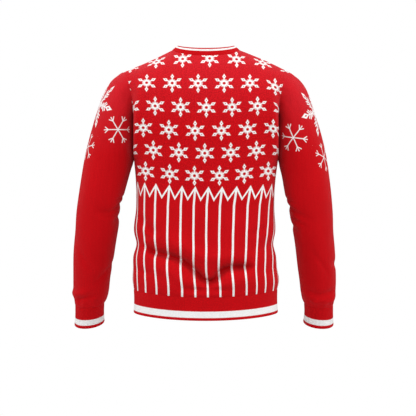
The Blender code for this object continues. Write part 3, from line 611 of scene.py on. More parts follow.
def sections_between(sections, rows):
    """The sections of every row, with rows[i] rows of faces between sections i and i + 1."""
    heights = [section.side_z for section in sections]
    wanted = [heights[0]]
    for low, high, count in zip(heights, heights[1:], rows):
        wanted += list(np.linspace(low, high, count + 1)[1:])
    return sections_at(sections, np.array(wanted))


def sections_at(sections, heights):
    """The sections at some heights, along a smooth curve through those of a table."""
    knots = [section.side_z for section in sections]
    values = smooth_at(heights, knots, [section[1:9] for section in sections])
    return [Section("row", *row) for row in values]


def top_line(side, shares):
    """The neckline and the shoulder seams of a panel, across its columns."""
    neck = BACK_NECK if side < 0 else FRONT_NECK
    away = np.abs(shares)
    in_neck = np.minimum(away / NECK_SHARE, 1)
    x, y = oval_quarter(neck.roundness, NECK_POINT[0], neck.depth, in_neck)
    z = NECK_POINT[2] - neck.drop * (y / neck.depth) ** neck.fall
    along = np.clip((away - NECK_SHARE) / (1 - NECK_SHARE), 0, 1)
    x = x + along * (SHOULDER_POINT[0] - NECK_POINT[0])
    rounding = np.where(shares < 0, *SHOULDER_ROUND) * np.sin(math.pi * along)
    z = z + along * (SHOULDER_POINT[2] - NECK_POINT[2]) + rounding
    return np.stack([np.sign(shares) * x, side * y, z], axis=-1)


def eased(grid, low):
    """A panel's grid with the creases that run down from its neck corners smoothed out, over its low rows."""
    row = np.arange(len(grid))
    down = smoothstep((row - low) / EASE_ROWS) * smoothstep((row[-1] - row) / EASE_ROWS)
    beside = np.exp(-(((np.abs(SHARES) - NECK_SHARE) / EASE_WIDE) ** 2))
    weight = 0.25 * (down[:, None] * beside)[:, 1:-1, None]
    for _ in range(EASE_PASSES):
        grid[:, 1:-1] += weight * (grid[:, :-2] + grid[:, 2:] - 2 * grid[:, 1:-1])
    return grid


def panel_points(side, shares, rows):
    """The outer points of the back (side -1) or the front (1), from the hem up, and the rows' heights."""
    sections = sections_between(BODY[: UNDERARM + 1], rows)
    lower = [section_row(section, side, shares) for section in sections]
    start = lower[-1]
    guide = section_row(BODY[UNDERARM + 1], side, shares)
    end = top_line(side, shares)
    away = np.abs(shares)
    ones = np.ones_like(shares)
    to_edge = smoothstep((away - EDGE_FROM) / (1 - EDGE_FROM))[:, None]
    edge = np.array(BACK_EDGE if side < 0 else FRONT_EDGE) * (1, side, 1)
    edge = edge * np.stack([np.sign(shares), ones, ones], axis=-1)
    leaving = (1 - to_edge) * (guide - start) * GUIDE_PULL + to_edge * edge
    arrival = BACK_ARRIVAL if side < 0 else FRONT_ARRIVAL
    pulls = smooth_at(away, [row.at for row in arrival], [row[2:] for row in arrival])
    arriving = pulls * np.stack([np.sign(shares), -side * ones, ones], axis=-1)
    steps = np.linspace(0, 1, ARMHOLE_ROWS * ARMHOLE_CUTS + 1)[1:]
    upper = [hermite(t, start, leaving, end, arriving) for t in steps]
    levels = [section.side_z for section in sections] + [BODY[UNDERARM].side_z + YOKE_RISE * t for t in steps]
    return eased(np.array(lower + upper), len(lower)), np.array(levels)


def normals_of(grid, wraps):
    """Unit normals of a grid of points (rows, columns, 3), outwards where columns run anticlockwise."""
    if wraps:
        across = np.roll(grid, -1, axis=1) - np.roll(grid, 1, axis=1)
    else:
        across = np.gradient(grid, axis=1)
    return unit(np.cross(across, np.gradient(grid, axis=0)))


def path_offset(points, path):
    """How far each point (..., 2) is from a path, how far along it, from 0 to 1, and how much over it."""
    legs = np.diff(path, axis=0)
    lengths = np.hypot(legs[:, 0], legs[:, 1])
    starts = np.concatenate([[0], np.cumsum(lengths)])
    best = np.full(points.shape[:-1], np.inf)
    share = np.zeros(points.shape[:-1])
    over = np.zeros(points.shape[:-1])
    for start, leg, length, run in zip(path, legs, lengths, starts):
        t = np.clip(((points - start) @ leg) / length**2, 0, 1)
        offset = points - start - t[..., None] * leg
        gap = np.linalg.norm(offset, axis=-1)
        nearer = gap < best
        best = np.where(nearer, gap, best)
        share = np.where(nearer, (run + t * length) / starts[-1], share)
        over = np.where(nearer, offset[..., 1] / np.maximum(gap, TINY), over)
    return best, share, over


def fold_lift(points, folds):
    """How far the folds raise (or, below zero, sink) each point (..., 2) of the cloth."""
    lift = np.zeros(points.shape[:-1])
    for fold in folds:
        gap, share, over = path_offset(points, rounded(fold.path))
        ends = smoothstep(share / fold.fade) * smoothstep((1 - share) / fold.fade)
        lift = lift + fold.height * np.exp(-((gap / fold.width / (1 + fold.lean * over)) ** 2)) * ends
    return lift


def rounded(path):
    """A fold's path without corners."""
    path = np.asarray(path, float)
    at = np.linspace(0, len(path) - 1, PATH_CUTS * (len(path) - 1) + 1)
    return smooth_at(at, np.arange(len(path)), path)


def wave(turns):
    return np.sin(2 * math.pi * turns)


def soft_waves(across, along):
    """The cloth's slight unevenness."""
    bend, bends = WAVE_BEND
    lift = np.zeros(np.broadcast(across, along).shape)
    for height, wide, high, start in SOFT_WAVES:
        bent = bend * wave(along * bends + start)
        lift = lift + height * np.sin(2 * math.pi * (across * wide + along * high) + start + bent)
    return lift


def gathers(across, over_seam, sizes):
    """Small uneven waves in cloth that is gathered into a band."""
    height, reach, pitch = sizes
    sway = sum(amount * wave(across / (pitches * pitch)) for amount, pitches in GATHER_SWAYS)
    swell, pitches = GATHER_SWELL
    swelling = 1 - swell + swell * wave(across / (pitches * pitch))
    fade = smoothstep(over_seam / GATHER_START) * smoothstep(1 - over_seam / reach)
    return height * np.sin(2 * math.pi * across / pitch + sway) * swelling * fade


def seam_roll(gap):
    """The soft roll of cloth beside a seam that is gap away."""
    return SEAM_ROLL * smoothstep(gap / ROLL_RISE) * smoothstep((ROLL_END - gap) / ROLL_FALL)


def tuck_shift(gap, seam, on_panel):
    """How far along Y the armhole seam draws a panel or a sleeve in, this far beside the seam's points."""
    deepest = 0
    shift = 0
    for tuck in TUCKS:
        wide = tuck.panel_wide if on_panel else tuck.sleeve_wide
        depth = tuck.depth * smoothstep((tuck.start - seam[..., 2]) / (tuck.start - tuck.full))
        deepest = deepest + depth
        shift = shift + depth * np.exp(-((gap / wide) ** 2))
    most = np.minimum(1, MOST_TUCK * np.abs(seam[..., 1]) / np.maximum(deepest, TINY))
    return -np.sign(seam[..., 1]) * most * shift


def runs_of(grid, axis):
    """The way along each row (axis 1) or column (axis 0) of a grid of points, from its first."""
    steps = np.linalg.norm(np.diff(grid, axis=axis), axis=-1)
    start = np.zeros_like(steps[:, :1] if axis else steps[:1])
    return np.cumsum(np.concatenate([start, steps], axis=axis), axis=axis)


def closed_run(loop):
    """A closed line with its first point again at its end, and the way along it to each of its points."""
    closed = np.concatenate([loop, loop[:1]])
    return closed, np.concatenate([[0], np.cumsum(np.linalg.norm(np.diff(closed, axis=0), axis=1))])


def ring_points(ring, count):
    """The points of one sleeve ring, from the seam side round the back, the outer side and the front."""
    inner = np.array([ring.inner_x, ring.y, ring.inner_z])
    outer = np.array([ring.outer_x, ring.y, ring.outer_z])
    nod = math.radians(ring.nod)
    back = ring.depth * np.array([0, -math.cos(nod), -math.sin(nod)])
    angle = np.arange(count) * 2 * math.pi / count
    middle = (inner + outer) / 2
    return middle - np.cos(angle)[:, None] * (outer - inner) / 2 + np.sin(angle)[:, None] * back


def armhole_shape(loop):
    """The armhole loop in its own ring's measures: along its width, its depth and out of its plane."""
    inner = loop[0]
    outer = loop[len(loop) // 2]
    half = (outer - inner) / 2
    length = np.linalg.norm(half)
    out = np.cross(half / length, FORWARD)
    offsets = loop - (inner + outer) / 2
    return np.stack([offsets @ half / length**2, offsets[:, 1], offsets @ out], axis=-1)


def rings_between(rings, at):
    """The rings at some places in a table, counted from its first, along a smooth curve."""
    return [Ring("row", *row) for row in smooth_at(at, np.arange(len(rings)), [ring[1:] for ring in rings])]


def sleeve_points(rings, loop, rows):
    """The outer points of a sleeve on the +X side, from the armhole to its cuff seam, without folds."""
    shape = armhole_shape(loop)
    top = loop[len(loop) // 2]
    armhole = Ring("armhole", loop[0][0], loop[0][2], top[0], top[2], 0, rings[0].depth, 0, 1)
    rings = (armhole, *rings)
    at = np.concatenate([[0], *[i + np.arange(1, rows + 1) / rows for i in range(len(rings) - 1)]])
    grid = []
    for ring in rings_between(rings, at):
        plain = ring_points(ring, len(loop))
        half = np.array([ring.outer_x - ring.inner_x, 0, ring.outer_z - ring.inner_z]) / 2
        middle = np.array([ring.outer_x + ring.inner_x, 2 * ring.y, ring.outer_z + ring.inner_z]) / 2
        out = np.cross(half / np.linalg.norm(half), FORWARD)
        own = middle + shape[:, :1] * half + shape[:, 1:2] * FORWARD + shape[:, 2:] * out
        grid.append((1 - ring.loop) * plain + ring.loop * own)
    return np.array(grid)


def seam_inner(outer, seam_normal, own_normal, thickness):
    """The inner points under a seam's cut edge, so that the pieces meet face to face."""
    cosine = np.sum(seam_normal * own_normal, axis=-1, keepdims=True)
    return outer - seam_normal * thickness / np.maximum(cosine, LEAST_MITRE)


def level(vectors):
    """Directions with no rise."""
    return unit(vectors * (1, 1, 0))


def mirrored(grid):
    """A tube from the +X side moved to the -X side, its points in the order that faces it outwards."""
    return np.roll(grid[:, ::-1], 1, axis=1) * (-1, 1, 1)


def closed_seam(loop, seam_normal, toward):
    """A step of one seam gap across a closed seam's cut face, to the side that the second piece lies on."""
    along = np.roll(loop, -1, axis=0) - np.roll(loop, 1, axis=0)
    step = unit(np.cross(along, seam_normal))
    return step * np.sign(np.sum(step * toward, axis=-1, keepdims=True)) * SEAM_GAP


# ---- Coordinates that the knit and its pattern follow ----


def cloth_height(grid):
    """Each point's height, counted more along the cloth where that turns in over the shoulders."""
    step = np.diff(grid, axis=0)
    slack = LEAST_RISE * np.hypot(step[..., 1], step[..., 2]) - step[..., 2]
    height = grid[..., 2].copy()
    height[1:] += np.cumsum(np.maximum(slack, 0), axis=0)
    return height


def flake_map(x, z):
    """Each point counted in snowflakes: across from the middle one, and in rows from the top one down."""
    sag = sum(s.depth * np.exp(-(((x - s.x) / s.wide) ** 2) - ((z - s.z) / s.high) ** 2) for s in SAGS)
    rises = np.interp(-z, [-row.z for row in FLAKE_ROWS], [row.rise for row in FLAKE_ROWS])
    height = z - rises * (x / SIDEWAYS) ** 2 + sag
    heights = np.array([row.z for row in FLAKE_ROWS])
    nearest = np.abs(height[..., None] - heights).argmin(axis=-1)
    middle = np.array([row.middle for row in FLAKE_ROWS])[nearest]
    pitch = np.array([row.pitch for row in FLAKE_ROWS])[nearest]
    flake = np.round((x - middle) / pitch)
    across = flake + (x - middle - flake * pitch) / FLAKE_PITCH
    return np.stack([across, nearest + (heights[nearest] - height) / ROW_PITCH], axis=-1)


def stripe_map(grid, middle, levels):
    """Each point counted in stripes from the middle one, and its height in the zigzag."""
    high = np.array(HIGH_STRIPES)
    low = np.array(LOW_STRIPES)
    numbers = np.arange(len(high)) - len(high) // 2
    first, last = STRIPE_SWAY[0][0], STRIPE_SWAY[-1][0]
    down = np.clip((first - levels) / (first - last), 0, 1)
    sways = np.interp(-levels, [-z for z, _ in STRIPE_SWAY], [x for _, x in STRIPE_SWAY])
    across = np.zeros_like(middle)
    for row, share in enumerate(down):
        places = high + share * (low - high)
        places = places + sways[row] * (1 + SWAY_SHARE * np.clip(places / SWAY_FROM, -SWAY_MOST, SWAY_MOST))
        across[row] = np.interp(middle[row], places, numbers)
    x = grid[..., 0]
    height = levels[:, None] - ZIGZAG_RISE[0] * x - ZIGZAG_RISE[1] * x * x
    return np.stack([across, height], axis=-1)


def sleeve_measures(grid):
    """How far round the upper arm each point is from its outer line, and how far down along the arm."""
    lean = math.radians(ARM_LEAN)
    along = np.array([math.sin(lean), 0.0, -math.cos(lean)])
    out = np.array([math.cos(lean), 0.0, math.sin(lean)])
    from_start = grid - ARM_START
    down = from_start @ along
    return np.arctan2(-from_start[..., 1], from_start @ out) * ARM_RADIUS, down


def motif_map(grid, motifs, kind):
    """Each point of a sleeve in the measures of the nearest snowflake of one kind, and far off beyond it."""
    turned, down = sleeve_measures(grid)
    best = np.full(turned.shape, np.inf)
    local = np.zeros((*turned.shape, 2))
    for motif in motifs:
        if motif.kind != kind:
            continue
        x = (turned - motif.round) / motif.radius
        y = (motif.down - down) / motif.radius
        cosine = math.cos(math.radians(motif.turn))
        sine = math.sin(math.radians(motif.turn))
        own = np.stack([x * cosine + y * sine, y * cosine - x * sine], axis=-1)
        gap = np.hypot(x, y)
        far = np.where(gap > MOTIF_REACH, FAR_OFF / np.maximum(gap, TINY), 1.0)
        local = np.where((gap < best)[..., None], own * far[..., None], local)
        best = np.minimum(gap, best)
    return local


# ---- Nodes ----


def feed(tree, socket, value):
    """Sets an input to a value, or links it to an output."""
    value = value.socket if isinstance(value, Num) else value
    if isinstance(value, bpy.types.NodeSocket):
        tree.links.new(value, socket)
    else:
        socket.default_value = value


def new_node(tree, kind, inputs, **settings):
    """A node with its settings and with its inputs fed, each by its name or number."""
    node = tree.nodes.new("ShaderNode" + kind)
    for label, value in settings.items():
        setattr(node, label, value)
    for label, value in inputs.items():
        feed(tree, node.inputs[label], value)
    return node


def operation(kind):
    """A method of Num that works out one sum."""
    return lambda self, *others: self.do(kind, *others)


class Num:
    """A number that a material's nodes work out, so that a pattern can be written as sums."""

    def __init__(self, tree, socket):
        self.tree = tree
        self.socket = socket

    def do(self, kind, *others, clamp=False):
        inputs = dict(enumerate((self, *others)))
        node = new_node(self.tree, "Math", inputs, operation=kind, use_clamp=clamp)
        return Num(self.tree, node.outputs[0])

    def __rsub__(self, other):
        return (self * -1.0) + other

    def clamped(self):
        return self.do("ADD", 0.0, clamp=True)

    __add__ = __radd__ = operation("ADD")
    __sub__ = operation("SUBTRACT")
    __mul__ = __rmul__ = operation("MULTIPLY")
    __truediv__ = operation("DIVIDE")
    __abs__ = operation("ABSOLUTE")


def hypot(x, y):
    return (x * x + y * y).do("SQRT")


def either(*shapes):
    """The join of shapes, each the distance to its outline and below zero inside it."""
    joined = shapes[0]
    for shape in shapes[1:]:
        joined = joined.do("MINIMUM", shape)
    return joined


def without(shape, hole):
    return shape.do("MAXIMUM", hole * -1.0)


def rods(x, y, table):
    """Straight rods with round ends."""
    shapes = []
    for rod in table:
        start_x, start_y = rod.start
        leg_x = rod.end[0] - start_x
        leg_y = rod.end[1] - start_y
        t = (((x - start_x) * leg_x + (y - start_y) * leg_y) / (leg_x**2 + leg_y**2)).clamped()
        shapes.append(hypot(x - start_x - t * leg_x, y - start_y - t * leg_y) - rod.radius)
    return either(*shapes)


def lozenge(x, y, sizes):
    half_long, half_wide = sizes.half_long, sizes.half_wide
    scale = half_long * half_wide / math.hypot(half_long, half_wide)
    return (abs(x - sizes.middle) / half_long + abs(y) / half_wide - 1.0) * scale


def sixth(x, y):
    """A point folded into one sixth of a snowflake: along its arm, beside it, and from the centre."""
    away = hypot(x, y)
    folded = x.do("ARCTAN2", y).do("PINGPONG", math.pi / 6)
    return away * folded.do("COSINE"), away * folded.do("SINE"), away


def small_flake(x, y):
    """A broad ring with teeth, and six lozenge-tipped arms, each lozenge with a hole."""
    along, beside, away = sixth(x, y)
    ring = abs(away - SMALL_RING) - SMALL_RING_HALF
    hole = hypot(along - SMALL_HOLE, beside) - SMALL_HOLE_RADIUS
    tip = without(lozenge(along, beside, SMALL_TIP), hole)
    return either(ring, tip, rods(along, beside, SMALL_RODS))


def ornate_flake(x, y):
    """A large snowflake: long lozenge tips with a lozenge hole, and three pairs of barbs on each arm."""
    along, beside, _ = sixth(x, y)
    heart, tip = (
        without(lozenge(along, beside, shape), lozenge(along, beside, hole))
        for shape, hole in (ORNATE_HEART, ORNATE_TIP)
    )
    barbs = [
        Rod("barb", (root, 0.0), (root + BARB_WAY[0] * reach, BARB_WAY[1] * reach), BARB_RADIUS)
        for root, reach in ORNATE_BARBS
    ]
    return either(heart, tip, rods(along, beside, [ORNATE_STEM, *barbs]))


def stick_flake(x, y):
    """A plain snowflake: six straight arms, each forked in three at its end."""
    along, beside, _ = sixth(x, y)
    return rods(along, beside, STICK_RODS)


def painted(shape, soft):
    """1 inside a shape and 0 outside, with an edge this soft."""
    return (0.5 - shape / soft).clamped()


class Cloth:
    """A material being made: its node tree, and what several of its parts read."""

    def __init__(self, name):
        self.material = bpy.data.materials.new(name)
        self.material.use_nodes = True
        self.tree = self.material.node_tree

    def node(self, kind, inputs, **settings):
        return new_node(self.tree, kind, inputs, **settings)

    def uv(self, name):
        """The two coordinates of a map."""
        parts = self.node("SeparateXYZ", {0: self.node("UVMap", {}, uv_map=name).outputs[0]})
        return Num(self.tree, parts.outputs[0]), Num(self.tree, parts.outputs[1])

    def noise(self, x, y, scale, detail=0.0):
        """Even noise about zero, from about -1 to 1."""
        place = self.node("CombineXYZ", {0: x, 1: y}).outputs[0]
        node = self.node("TexNoise", {"Scale": scale, "Detail": detail, "Vector": place})
        return (Num(self.tree, node.outputs[0]) - 0.5) * 2.0

    def speckle(self, x):
        """A number of its own from 0 to 1 for each whole x."""
        place = self.node("CombineXYZ", {0: x}).outputs[0]
        return Num(self.tree, self.node("TexWhiteNoise", {"Vector": place}).outputs["Value"])

    def mixed(self, share, first, second):
        """A colour between two, each a socket or three numbers."""
        node = self.node("Mix", {"Factor": share}, data_type="RGBA")
        sockets = [socket for socket in node.inputs if socket.type == "RGBA"]
        for socket, colour in zip(sockets, (first, second)):
            feed(self.tree, socket, (*colour, 1.0) if isinstance(colour, tuple) else colour)
        return [socket for socket in node.outputs if socket.type == "RGBA"][0]

    def scaled(self, colour, by):
        return self.node("VectorMath", {0: colour, "Scale": by}, operation="SCALE").outputs[0]

    def finish(self, colour, roughness, height):
        """The material, with a nap and with its height as bumps."""
        bump = self.node("Bump", {"Strength": BUMP_STRENGTH, "Distance": BUMP_DEPTH, "Height": height})
        looks = {"Base Color": colour, "Roughness": roughness, "Normal": bump.outputs[0], **NAP}
        for label, value in looks.items():
            feed(self.tree, self.tree.nodes["Principled BSDF"].inputs[label], value)
        return self.material


def knit_height(u, v):
    """Rows of V-shaped stitches, from 0 in the grooves to 1 on the yarn."""
    beside = abs((u / WALE).do("FRACT") - 0.5)
    leg = 1.0 - ((beside - LEG) / LEG).do("POWER", 2.0)
    stitch = ((v / COURSE - beside * LEG_SLANT) * (2 * math.pi)).do("COSINE") * 0.5 + 0.5
    return leg * (stitch * STITCH_DIP + (1 - STITCH_DIP))


def yarn_shade(cloth, u, v, mottled):
    """How much lighter or darker than its dye the knit is: streaks along the wales, mottle and clouds."""
    streak = cloth.speckle((u / (STREAK_WALES * WALE)).do("FLOOR")) - 0.5
    fine = cloth.noise(u, v, MOTTLE, 1.0)
    cloud = cloth.noise(u, v, CLOUDS, 1.0)
    return 1.0 + streak * STREAK + fine * mottled + cloud * CLOUD


def painted_highlight_red(cloth, height, span):
    """The red with a painted highlight on the yoke and the caps, where light falls: paler from span[0] up to
    span[1].
    """
    return cloth.mixed(((height - span[0]) / (span[1] - span[0])).clamped(), RED, RED_PAINTED_HIGHLIGHT)


def body_lines(stripe, height):
    """The zigzag, and the stripe under each of its peaks."""
    beside = abs(stripe - stripe.do("ROUND"))
    rise = ZIGZAG_PEAK - ZIGZAG_VALLEY
    line = ZIGZAG_PEAK - rise * 2.0 * beside
    zigzag = abs(height - line) / math.hypot(1.0, 2.0 * rise / STRIPE_PITCH) - 0.5 * ZIGZAG_LINE
    under_peak = height - (ZIGZAG_PEAK - STRIPE_START)
    return either(zigzag, (beside * STRIPE_PITCH - 0.5 * STRIPE_WIDE).do("MAXIMUM", under_peak))


def body_material(name, inside=False):
    """Knit with rows of small snowflakes over a zigzag with a stripe under each of its peaks."""
    cloth = Cloth(name)
    u, v = cloth.uv("cloth")
    waver = cloth.noise(u, v, WAVER, 1.0)
    across, row = cloth.uv("flakes")
    nearest = row.do("ROUND").do("MAXIMUM", 0.0).do("MINIMUM", float(len(FLAKE_ROWS) - 1))
    x = (across - across.do("ROUND")) * (FLAKE_PITCH / FLAKE_RADIUS / FLAKE_BREADTH)
    y = (nearest - row) * (ROW_PITCH / FLAKE_RADIUS)
    by = waver * FLAKE_EDGE.waver
    flakes = painted(small_flake(x + by, y + by), FLAKE_EDGE.soft)
    stripe, height = cloth.uv("stripes")
    lines = painted(body_lines(stripe, height) + waver * LINE_EDGE.waver, LINE_EDGE.soft)
    white = flakes.do("MAXIMUM", lines)
    # The body's red carries a painted highlight towards the yoke.
    mottled = BODY_MOTTLE + ((height - ZIGZAG_VALLEY) / MOTTLE_FADE).clamped() * YOKE_MOTTLE
    return knit_finish(cloth, u, v, white, mottled, painted_highlight_red(cloth, height, BODY_HIGHLIGHT_HEIGHTS), inside)


def sleeve_material(name, inside=False):
    """Plain knit with snowflakes on the upper arm."""
    cloth = Cloth(name)
    u, v = cloth.uv("cloth")
    waver = cloth.noise(u, v, WAVER, 1.0)
    shapes = []
    for label, flake, edge in (("ornate", ornate_flake, ORNATE_EDGE), ("sticks", stick_flake, STICK_EDGE)):
        x, y = cloth.uv(label)
        by = waver * edge.waver
        shapes.append(painted(flake(x + by, y + by), edge.soft))
    white = shapes[0].do("MAXIMUM", shapes[1])
    mottled = cloth.noise(u, v, SLEEVE_PATCHES) * MOTTLE_UNEVEN + SLEEVE_MOTTLE
    # The sleeve's red carries a painted highlight towards the cap.
    return knit_finish(cloth, u, v, white, mottled, painted_highlight_red(cloth, v, SLEEVE_HIGHLIGHT_HEIGHTS), inside)


def rib_material(name, stripe):
    """Rib with its white stripe; the map counts from the seam to the edge, 0 to 1."""
    cloth = Cloth(name)
    u, v = cloth.uv("cloth")
    _, share = cloth.uv("band")
    wavering = share + cloth.noise(u, v, BAND_WAVER, 1.0) * BAND_EDGE.waver
    white = painted(abs(wavering - 0.5 * sum(stripe)) - 0.5 * (stripe[1] - stripe[0]), BAND_EDGE.soft)
    mottled = cloth.noise(u, v, BAND_PATCHES) * MOTTLE_UNEVEN + BAND_MOTTLE
    return knit_finish(cloth, u, v, white, mottled, RED_RIB)


def knit_finish(cloth, u, v, white, mottled, dye_and_highlight, inside=False):
    """Red knit, white where the pattern is; inside, only some of the white yarn's floats glint through."""
    height = knit_height(u, v)
    if inside:
        floats = cloth.noise(u * FLOAT_LONG, v, FLOATS)
        white = (white * FLOAT_WHITE * (floats * FLOAT_SHARP + FLOAT_MORE).clamped()).clamped()
    # The red here is the dye, with the painted highlight of the yoke and caps on body and sleeves.
    dyed_and_highlit = cloth.mixed(white, dye_and_highlight, WHITE)
    uneven = 1.0 - white * WHITE_EVEN
    shade = (yarn_shade(cloth, u, v, mottled) - 1.0) * uneven + 1.0
    # Painted shade: the knit's grooves are darker than the yarn on top.
    colour = cloth.scaled(dyed_and_highlit, shade * (height * PAINTED_SHADE_SPAN + PAINTED_GROOVE_SHADE))
    fuzz = cloth.noise(u, v, FUZZ, 2.0)
    return cloth.finish(colour, GROOVE_ROUGHNESS - height * YARN_ROUGHNESS, height + fuzz * FUZZ_HEIGHT)


# ---- Pieces ----


def corner_indices(rows, spans, columns):
    """The four corners of each face of a grid, in a grid of that many columns."""
    i, j = np.meshgrid(np.arange(rows - 1), np.arange(spans), indexing="ij")
    k = (j + 1) % columns
    return np.stack([i * columns + j, i * columns + k, (i + 1) * columns + k, (i + 1) * columns + j], axis=-1)


def bake_maps(rows, spans):
    """Where the outer and the inner side of a grid lie on one square map."""
    a, b = np.meshgrid(np.linspace(0, 1, spans + 1), np.linspace(0, 1, rows))
    along = BAKE_ALONG[0] + BAKE_ALONG[1] * b
    return [np.stack([start + size * a, along], axis=-1) for start, size in (BAKE_OUTER, BAKE_INNER)]


def edge_corners(front, mapped, wraps):
    """For each edge of a grid of faces, its points, those of its map, and which way it lies on the map."""
    edges = [
        (front[0][:, (1, 0)], mapped[0][:, (1, 0)], (0, -1)),
        (front[-1][:, (3, 2)], mapped[-1][:, (3, 2)], (0, 1)),
    ]
    if not wraps:
        edges += [
            (front[:, 0][:, (0, 3)], mapped[:, 0][:, (0, 3)], (-1, 0)),
            (front[:, -1][:, (2, 1)], mapped[:, -1][:, (2, 1)], (1, 0)),
        ]
    return edges


def wall(name, outer, inner, wraps, maps, materials):
    """One closed piece of cloth between two grids of points, with its maps (rows, spans + 1, 2)."""
    rows, columns = outer.shape[:2]
    spans = columns if wraps else columns - 1
    total = rows * columns
    front = corner_indices(rows, spans, columns)
    mapped = corner_indices(rows, spans, spans + 1)
    edges = edge_corners(front, mapped, wraps)
    faces = [front.reshape(-1, 4), (front[..., ::-1] + total).reshape(-1, 4)]
    reads = [mapped.reshape(-1, 4), mapped[..., ::-1].reshape(-1, 4)]
    count = len(faces[0])
    for points, read, _ in edges:
        faces.append(np.concatenate([points, points[:, ::-1] + total], axis=-1))
        reads.append(np.concatenate([read, read[:, ::-1]], axis=-1))
    mesh = bpy.data.meshes.new(name)
    points = np.concatenate([outer.reshape(-1, 3), inner.reshape(-1, 3)])
    mesh.from_pydata(points.tolist(), [], np.concatenate(faces).tolist())
    reads = np.concatenate(reads)
    for label, values in maps.items():
        write_map(mesh, label, values.reshape(-1, 2)[reads])
    outer_map, inner_map = bake_maps(rows, spans)
    baked = outer_map.reshape(-1, 2)[reads]
    baked[count : 2 * count] = inner_map.reshape(-1, 2)[reads[count : 2 * count]]
    start = 2 * count
    for _, read, push in edges:
        baked[start : start + len(read), 2:] += np.array(push) * BAKE_EDGE
        start += len(read)
    write_map(mesh, "OFBake", baked)
    slots = np.zeros(len(reads), np.int32)
    slots[count : 2 * count] = len(materials) - 1
    for material in materials:
        mesh.materials.append(material)
    mesh.polygons.foreach_set("material_index", slots)
    return placed(name, mesh)


def write_map(mesh, label, corners):
    layer = mesh.uv_layers.new(name=label)
    layer.data.foreach_set("uv", corners.astype(np.float32).ravel())


def placed(name, mesh):
    """A mesh as a smooth piece that rides with the garment."""
    mesh.update()
    mesh.shade_smooth()
    mesh.set_sharp_from_angle(angle=math.radians(SHARP))
    piece = bpy.data.objects.new(name + "_cloth", mesh)
    bpy.context.scene.collection.objects.link(piece)
    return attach(piece, "root")


Panel = namedtuple("Panel", "name side plain outer normals inner low beyond_neck maps")


def panel_lift(side, grid, middle, along, across, folds):
    """How far a panel's folds, waves and seams raise each of its points."""
    top_gap = along[-1] - along
    side_gap = np.minimum(across, across[:, -1:] - across)
    lift = fold_lift(grid[..., (0, 2)], folds)
    lift = lift + soft_waves(middle, grid[..., 2]) + gathers(middle + GATHER_SHIFT * side, along, HEM_GATHERS)
    gaps = (along, top_gap, side_gap)
    for gap, fade in zip(gaps, PANEL_FADES):
        lift = lift * smoothstep(gap / fade)
    return lift + seam_roll(np.minimum.reduce(gaps))


def make_panel(name, side, rows, folds):
    """The back (side -1) or the front (1), its side edges and its hem edge already cut square."""
    shares = SHARES if side < 0 else SHARES[::-1]
    # The solids' front has half as many low rows as their back, so each is cut twice as often.
    cuts = LOW_CUTS if side < 0 else 2 * LOW_CUTS
    cut_rows = [count * cuts for count in rows]
    grid, levels = panel_points(side, shares, cut_rows)
    low = sum(cut_rows)
    across = runs_of(grid, 1)
    middle = across - across[:, across.shape[1] // 2][:, None]
    along = runs_of(grid, 0)
    lift = panel_lift(side, grid, middle, along, across, folds)
    outer = grid + (normals_of(grid, False) * FOLD_PUSH - FOLD_FALL * UP) * lift[..., None]
    for gap, edge in ((across, 0), (across[:, -1:] - across, -1)):
        outer[low:, :, 1] += tuck_shift(gap[low:], grid[low:, edge, None], True)
    normals = normals_of(outer, False)
    inner = outer - CLOTH * normals
    inner[0] = outer[0] - CLOTH * level(normals[0])
    for column in (0, -1):
        inner[:low, column] = outer[:low, column] - CLOTH * unit(normals[:low, column] * (1, 0, 1))
        inner[0, column] = outer[0, column] - CLOTH * np.sign(outer[0, column]) * (1, 0, 0)
    maps = {
        "cloth": np.stack([middle, along], axis=-1),
        "flakes": flake_map(grid[..., 0] if side < 0 else middle, cloth_height(grid)),
        "stripes": stripe_map(grid * (-side, 1, 1), middle, levels),
    }
    return Panel(name, side, grid, outer, normals, inner, low, np.abs(SHARES) > NECK_SHARE - TINY, maps)


def join_shoulders(back, front):
    """Cuts both panels' shoulder edges so that they meet face to face."""
    seam = unit(back.normals[-1] + front.normals[-1][::-1])
    for panel, normals in ((back, seam), (front, seam[::-1])):
        cut = seam_inner(panel.outer[-1], normals, panel.normals[-1], CLOTH)
        panel.inner[-1][panel.beyond_neck] = cut[panel.beyond_neck]


def spaced(loop, count):
    """A closed line cut into count points evenly along it."""
    closed, run = closed_run(loop)
    at = np.arange(count) / count * run[-1]
    return np.stack([np.interp(at, run, closed[:, i]) for i in range(3)], axis=-1)


def neckband_points(seam, shares):
    """The band's outer points from its seam up to its top edge."""
    inward = -level(seam / (NECK_POINT[0], BACK_NECK.depth, 1))
    toward_front = np.clip(seam[:, 1] / FRONT_NECK.depth, 0, 1)
    toward_back = np.clip(-seam[:, 1] / BACK_NECK.depth, 0, 1)
    at = toward_front**LEAN_POWER - toward_back**LEAN_POWER
    lean = np.radians(np.interp(at, (-1, 0, 1), NECKBAND_LEAN))[:, None]
    grid = []
    for share in shares:
        turned = lean * (1 + NECKBAND_CURL * (share - 1))
        rise = inward * np.sin(turned) + UP * np.cos(turned)
        grid.append(seam + share * NECKBAND_HEIGHT * rise)
    return np.array(grid)


def band_shares(height):
    """A band's rows from its seam (0) to its folded edge (1), and how far each is drawn in there."""
    lip = np.array(LIP_ROWS)
    start = [row.away / height for row in BAND_SEAM]
    rows = np.linspace(BAND_START / height, 1 - LIP / height, BAND_ROWS)
    shares = np.concatenate([start, rows, 1 - LIP / height * (1 - lip)])
    drawn = np.zeros(len(shares))
    drawn[: len(BAND_SEAM)] = [row.drawn for row in BAND_SEAM]
    drawn[-len(lip) :] = 1 - np.sqrt(1 - np.minimum(lip, LIP_MOST) ** 2)
    return shares, drawn


